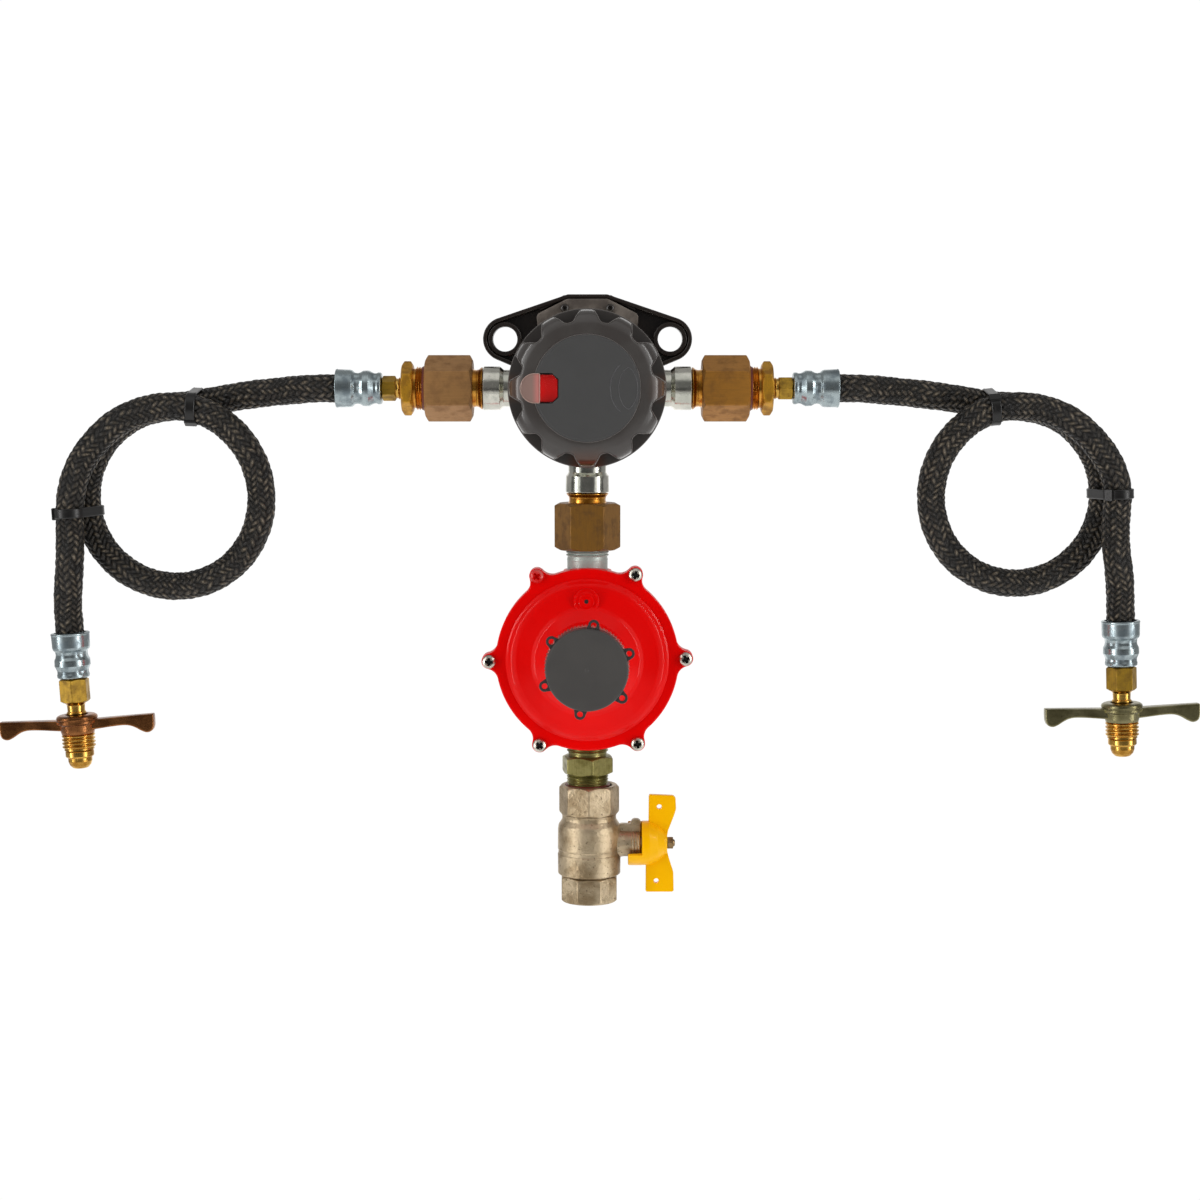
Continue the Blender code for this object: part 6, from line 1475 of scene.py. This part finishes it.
for tag, line, eye in (("up", up_wing, (45.0, 23.3)), ("down", down_wing, (43.2, -23.9))):
    wing = plate("handle_wing_" + tag, line, [(-2.0, -0.5), (-1.75, -0.12), (-1.4, 0), (1.4, 0), (1.75, -0.12), (2.0, -0.5)],
                 M["handle_yellow"], SIDE, "handle", sharp=46)
    bm = bmesh.new()
    bmesh.ops.create_cone(bm, cap_ends=True, segments=40, radius1=1.6 * MM, radius2=1.6 * MM, depth=0.012)
    me = bpy.data.meshes.new("c")
    bm.to_mesh(me)
    bm.free()
    c = bpy.data.objects.new("c", me)
    scene.collection.objects.link(c)
    c.matrix_world = SIDE @ Matrix.Translation(Vector((eye[0], eye[1], 0)) * MM)
    cut(wing, c)
sk = []
sk_a = np.radians(np.linspace(113, 336, 100))                      # from up, by way of the front
for x, r in ((25.4, 13.6), (25.4, 13.0), (25.4, 12.2), (34.4, 11.6), (35.0, 12.0), (35.0, 13.4), (34.6, 13.9), (33.6, 14.0), (26.0, 14.0)):
    sk.append(np.stack([r * np.cos(sk_a), r * np.sin(sk_a), np.full_like(sk_a, x)], -1))
rows_n, cols_n = len(sk), len(sk_a)
faces = [tuple(int(q) for q in f) for f in grid_faces(rows_n, cols_n, close_rows=True, close_cols=False)]
faces.append(tuple(k * cols_n for k in range(rows_n)))
faces.append(tuple(k * cols_n + cols_n - 1 for k in range(rows_n - 1, -1, -1)))
put("handle_skirt", np.concatenate(sk), faces, M["handle_yellow"], "handle", HUB, (), 46, merge=False)
a6 = ring_angles(6, 0.3, 4.2, 0.3, base=72)
one6 = np.ones_like(a6)
rings = [(49.9 * one6, 2.0 * one6)] + nut(50.0, 53.8, 4.2, a6, phase=0.3, q=0.3, face=0.94, slope=0.55, soft=0.2)
rings += [(h * one6, r * one6) for h, r in fillet([(53.9, 2.4), (54.6, 2.1), (54.9, 1.6), (54.9, 0.0)], 0.2)]
lathe("stem_nut", rings, a6, M["handle_nut"], HUB, "handle", ["handle_nut"], sharp=46)


# ------------------------------------------------------------------ springs and diaphragms
def flexing(name, node, kind, verts, faces, at, body, start, end, radial):
    """Builds the piece from verts and faces in the frame `at`, with its finish, and hides the part it stands for; body,
    start and end (millimetres along the axis, or out from it) are not used.
    """
    mesh = bpy.data.meshes.new(name)
    local = np.asarray(verts, float) * MM
    mesh.from_pydata([tuple(v) for v in local], [], [tuple(int(k) for k in f) for f in faces])
    bm = bmesh.new()
    bm.from_mesh(mesh)
    bmesh.ops.recalc_face_normals(bm, faces=bm.faces)
    bm.to_mesh(mesh)
    bm.free()
    mesh.materials.append(M[kind])
    mesh.shade_smooth()
    mesh.set_sharp_from_angle(angle=math.radians(50))
    ob = bpy.data.objects.new(name, mesh)
    scene.collection.objects.link(ob)
    # the points are laid on one straight line for a moment, then put back
    line = np.zeros_like(local)
    line[:, 0] = np.hypot(local[:, 0], local[:, 1]) if radial else local[:, 2]
    mesh.vertices.foreach_set("co", line.ravel())
    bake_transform(ob)
    mesh.vertices.foreach_set("co", local.ravel())
    mesh.transform(at)
    mesh.update()
    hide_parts(node)
    return ob


def coil(low, high, r, wire, turns, sides=12, per_turn=36):
    n = int(turns * per_turn)
    t = np.linspace(0.0, 1.0, n + 1)[:, None]
    a = 2 * math.pi * turns * t
    b = np.linspace(0, 2 * math.pi, sides, endpoint=False)[None, :]
    rr = r + wire * np.cos(b) + 0 * a
    h = low + wire + (high - low - 2 * wire) * t + wire * np.sin(b)
    verts = np.stack([rr * np.cos(a), rr * np.sin(a), h], -1).reshape(-1, 3)
    faces = [tuple(f) for f in grid_faces(n + 1, sides)]
    return verts, faces + [tuple(range(sides)), tuple(range(n * sides, (n + 1) * sides))]


def rolled_sheet(mid, flat, thin, start, end, base=144):
    """Round sheet on a centre line of (height, radius), thinner where it rolls."""
    path = np.array(fillet(mid, 0.9, 6), float)
    d = np.gradient(path, axis=0)
    d /= np.maximum(np.linalg.norm(d, axis=1, keepdims=True), 1e-9)
    side = np.stack([d[:, 1], -d[:, 0]], -1)
    half = np.interp(path[:, 1], [start - 0.6, start + 0.4, end - 1.5, end + 1.0], [flat, thin, thin, flat])[:, None] / 2
    ring = np.concatenate([path + side * half, (path - side * half)[::-1]])
    ang = np.linspace(0, 2 * math.pi, base, endpoint=False)[None, :]
    h, r = ring[:, :1] + 0 * ang, ring[:, 1:]
    verts = np.stack([r * np.cos(ang), r * np.sin(ang), h], -1).reshape(-1, 3)
    return verts, grid_faces(len(ring), base, close_rows=True)


flexing("coil_first", "first_stage_spring", "spring_steel", *coil(61.4, 72.5, 9.3, 0.85, 3.5), FACE_ON, "first_plate",
        61.4, 72.5, False)
flexing("coil_second", "second_stage_spring", "spring_steel", *coil(54.4, 84.6, 11.5, 1.3, 4.5), DISC_ON, "second_plate",
        54.4, 84.6, False)
roll = [(58.4, 4.6), (58.4, 19.8), (58.0, 20.35), (56.9, 20.9), (55.7, 21.5), (55.0, 22.8), (54.9, 24.5), (55.4, 26.8),
        (56.8, 29.6), (58.0, 31.6), (58.4, 33.0), (58.4, 39.0)]
flexing("sheet_first", "first_stage_diaphragm", "diaphragm_rubber", *rolled_sheet(roll, 1.2, 0.8, 20.0, 32.0), FACE_ON,
        "first_plate", 20.0, 32.0, True)
roll = [(51.8, 4.6), (51.8, 30.2), (51.2, 31.2), (50.0, 32.4), (49.2, 34.4), (49.0, 36.6), (49.4, 38.8), (50.4, 41.0),
        (51.4, 42.8), (51.8, 44.2), (51.8, 52.0)]
flexing("sheet_second", "second_stage_diaphragm", "diaphragm_rubber", *rolled_sheet(roll, 1.0, 0.7, 30.4, 43.5), DISC_ON,
        "second_plate", 30.4, 43.5, True)


# ------------------------------------------------------------------ pieces that stay as built
INNER = {"first_stage_plate": "plate_steel", "inlet_valve_left": "plate_steel", "inlet_valve_right": "plate_steel",
         "selector_cam": "plate_steel", "second_stage_plate": "plate_steel", "pressure_lever": "plate_steel",
         "orifice_poppet": "bright_brass", "adjusting_screw": "cap_plastic", "valve_ball": "ball_chrome", "valve_stem": "plate_steel"}
for node_name, kind in INNER.items():
    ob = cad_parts[node_name]
    for k in range(max(1, len(ob.material_slots))):
        if k < len(ob.material_slots):
            ob.material_slots[k].material = M[kind]
        else:
            ob.data.materials.append(M[kind])
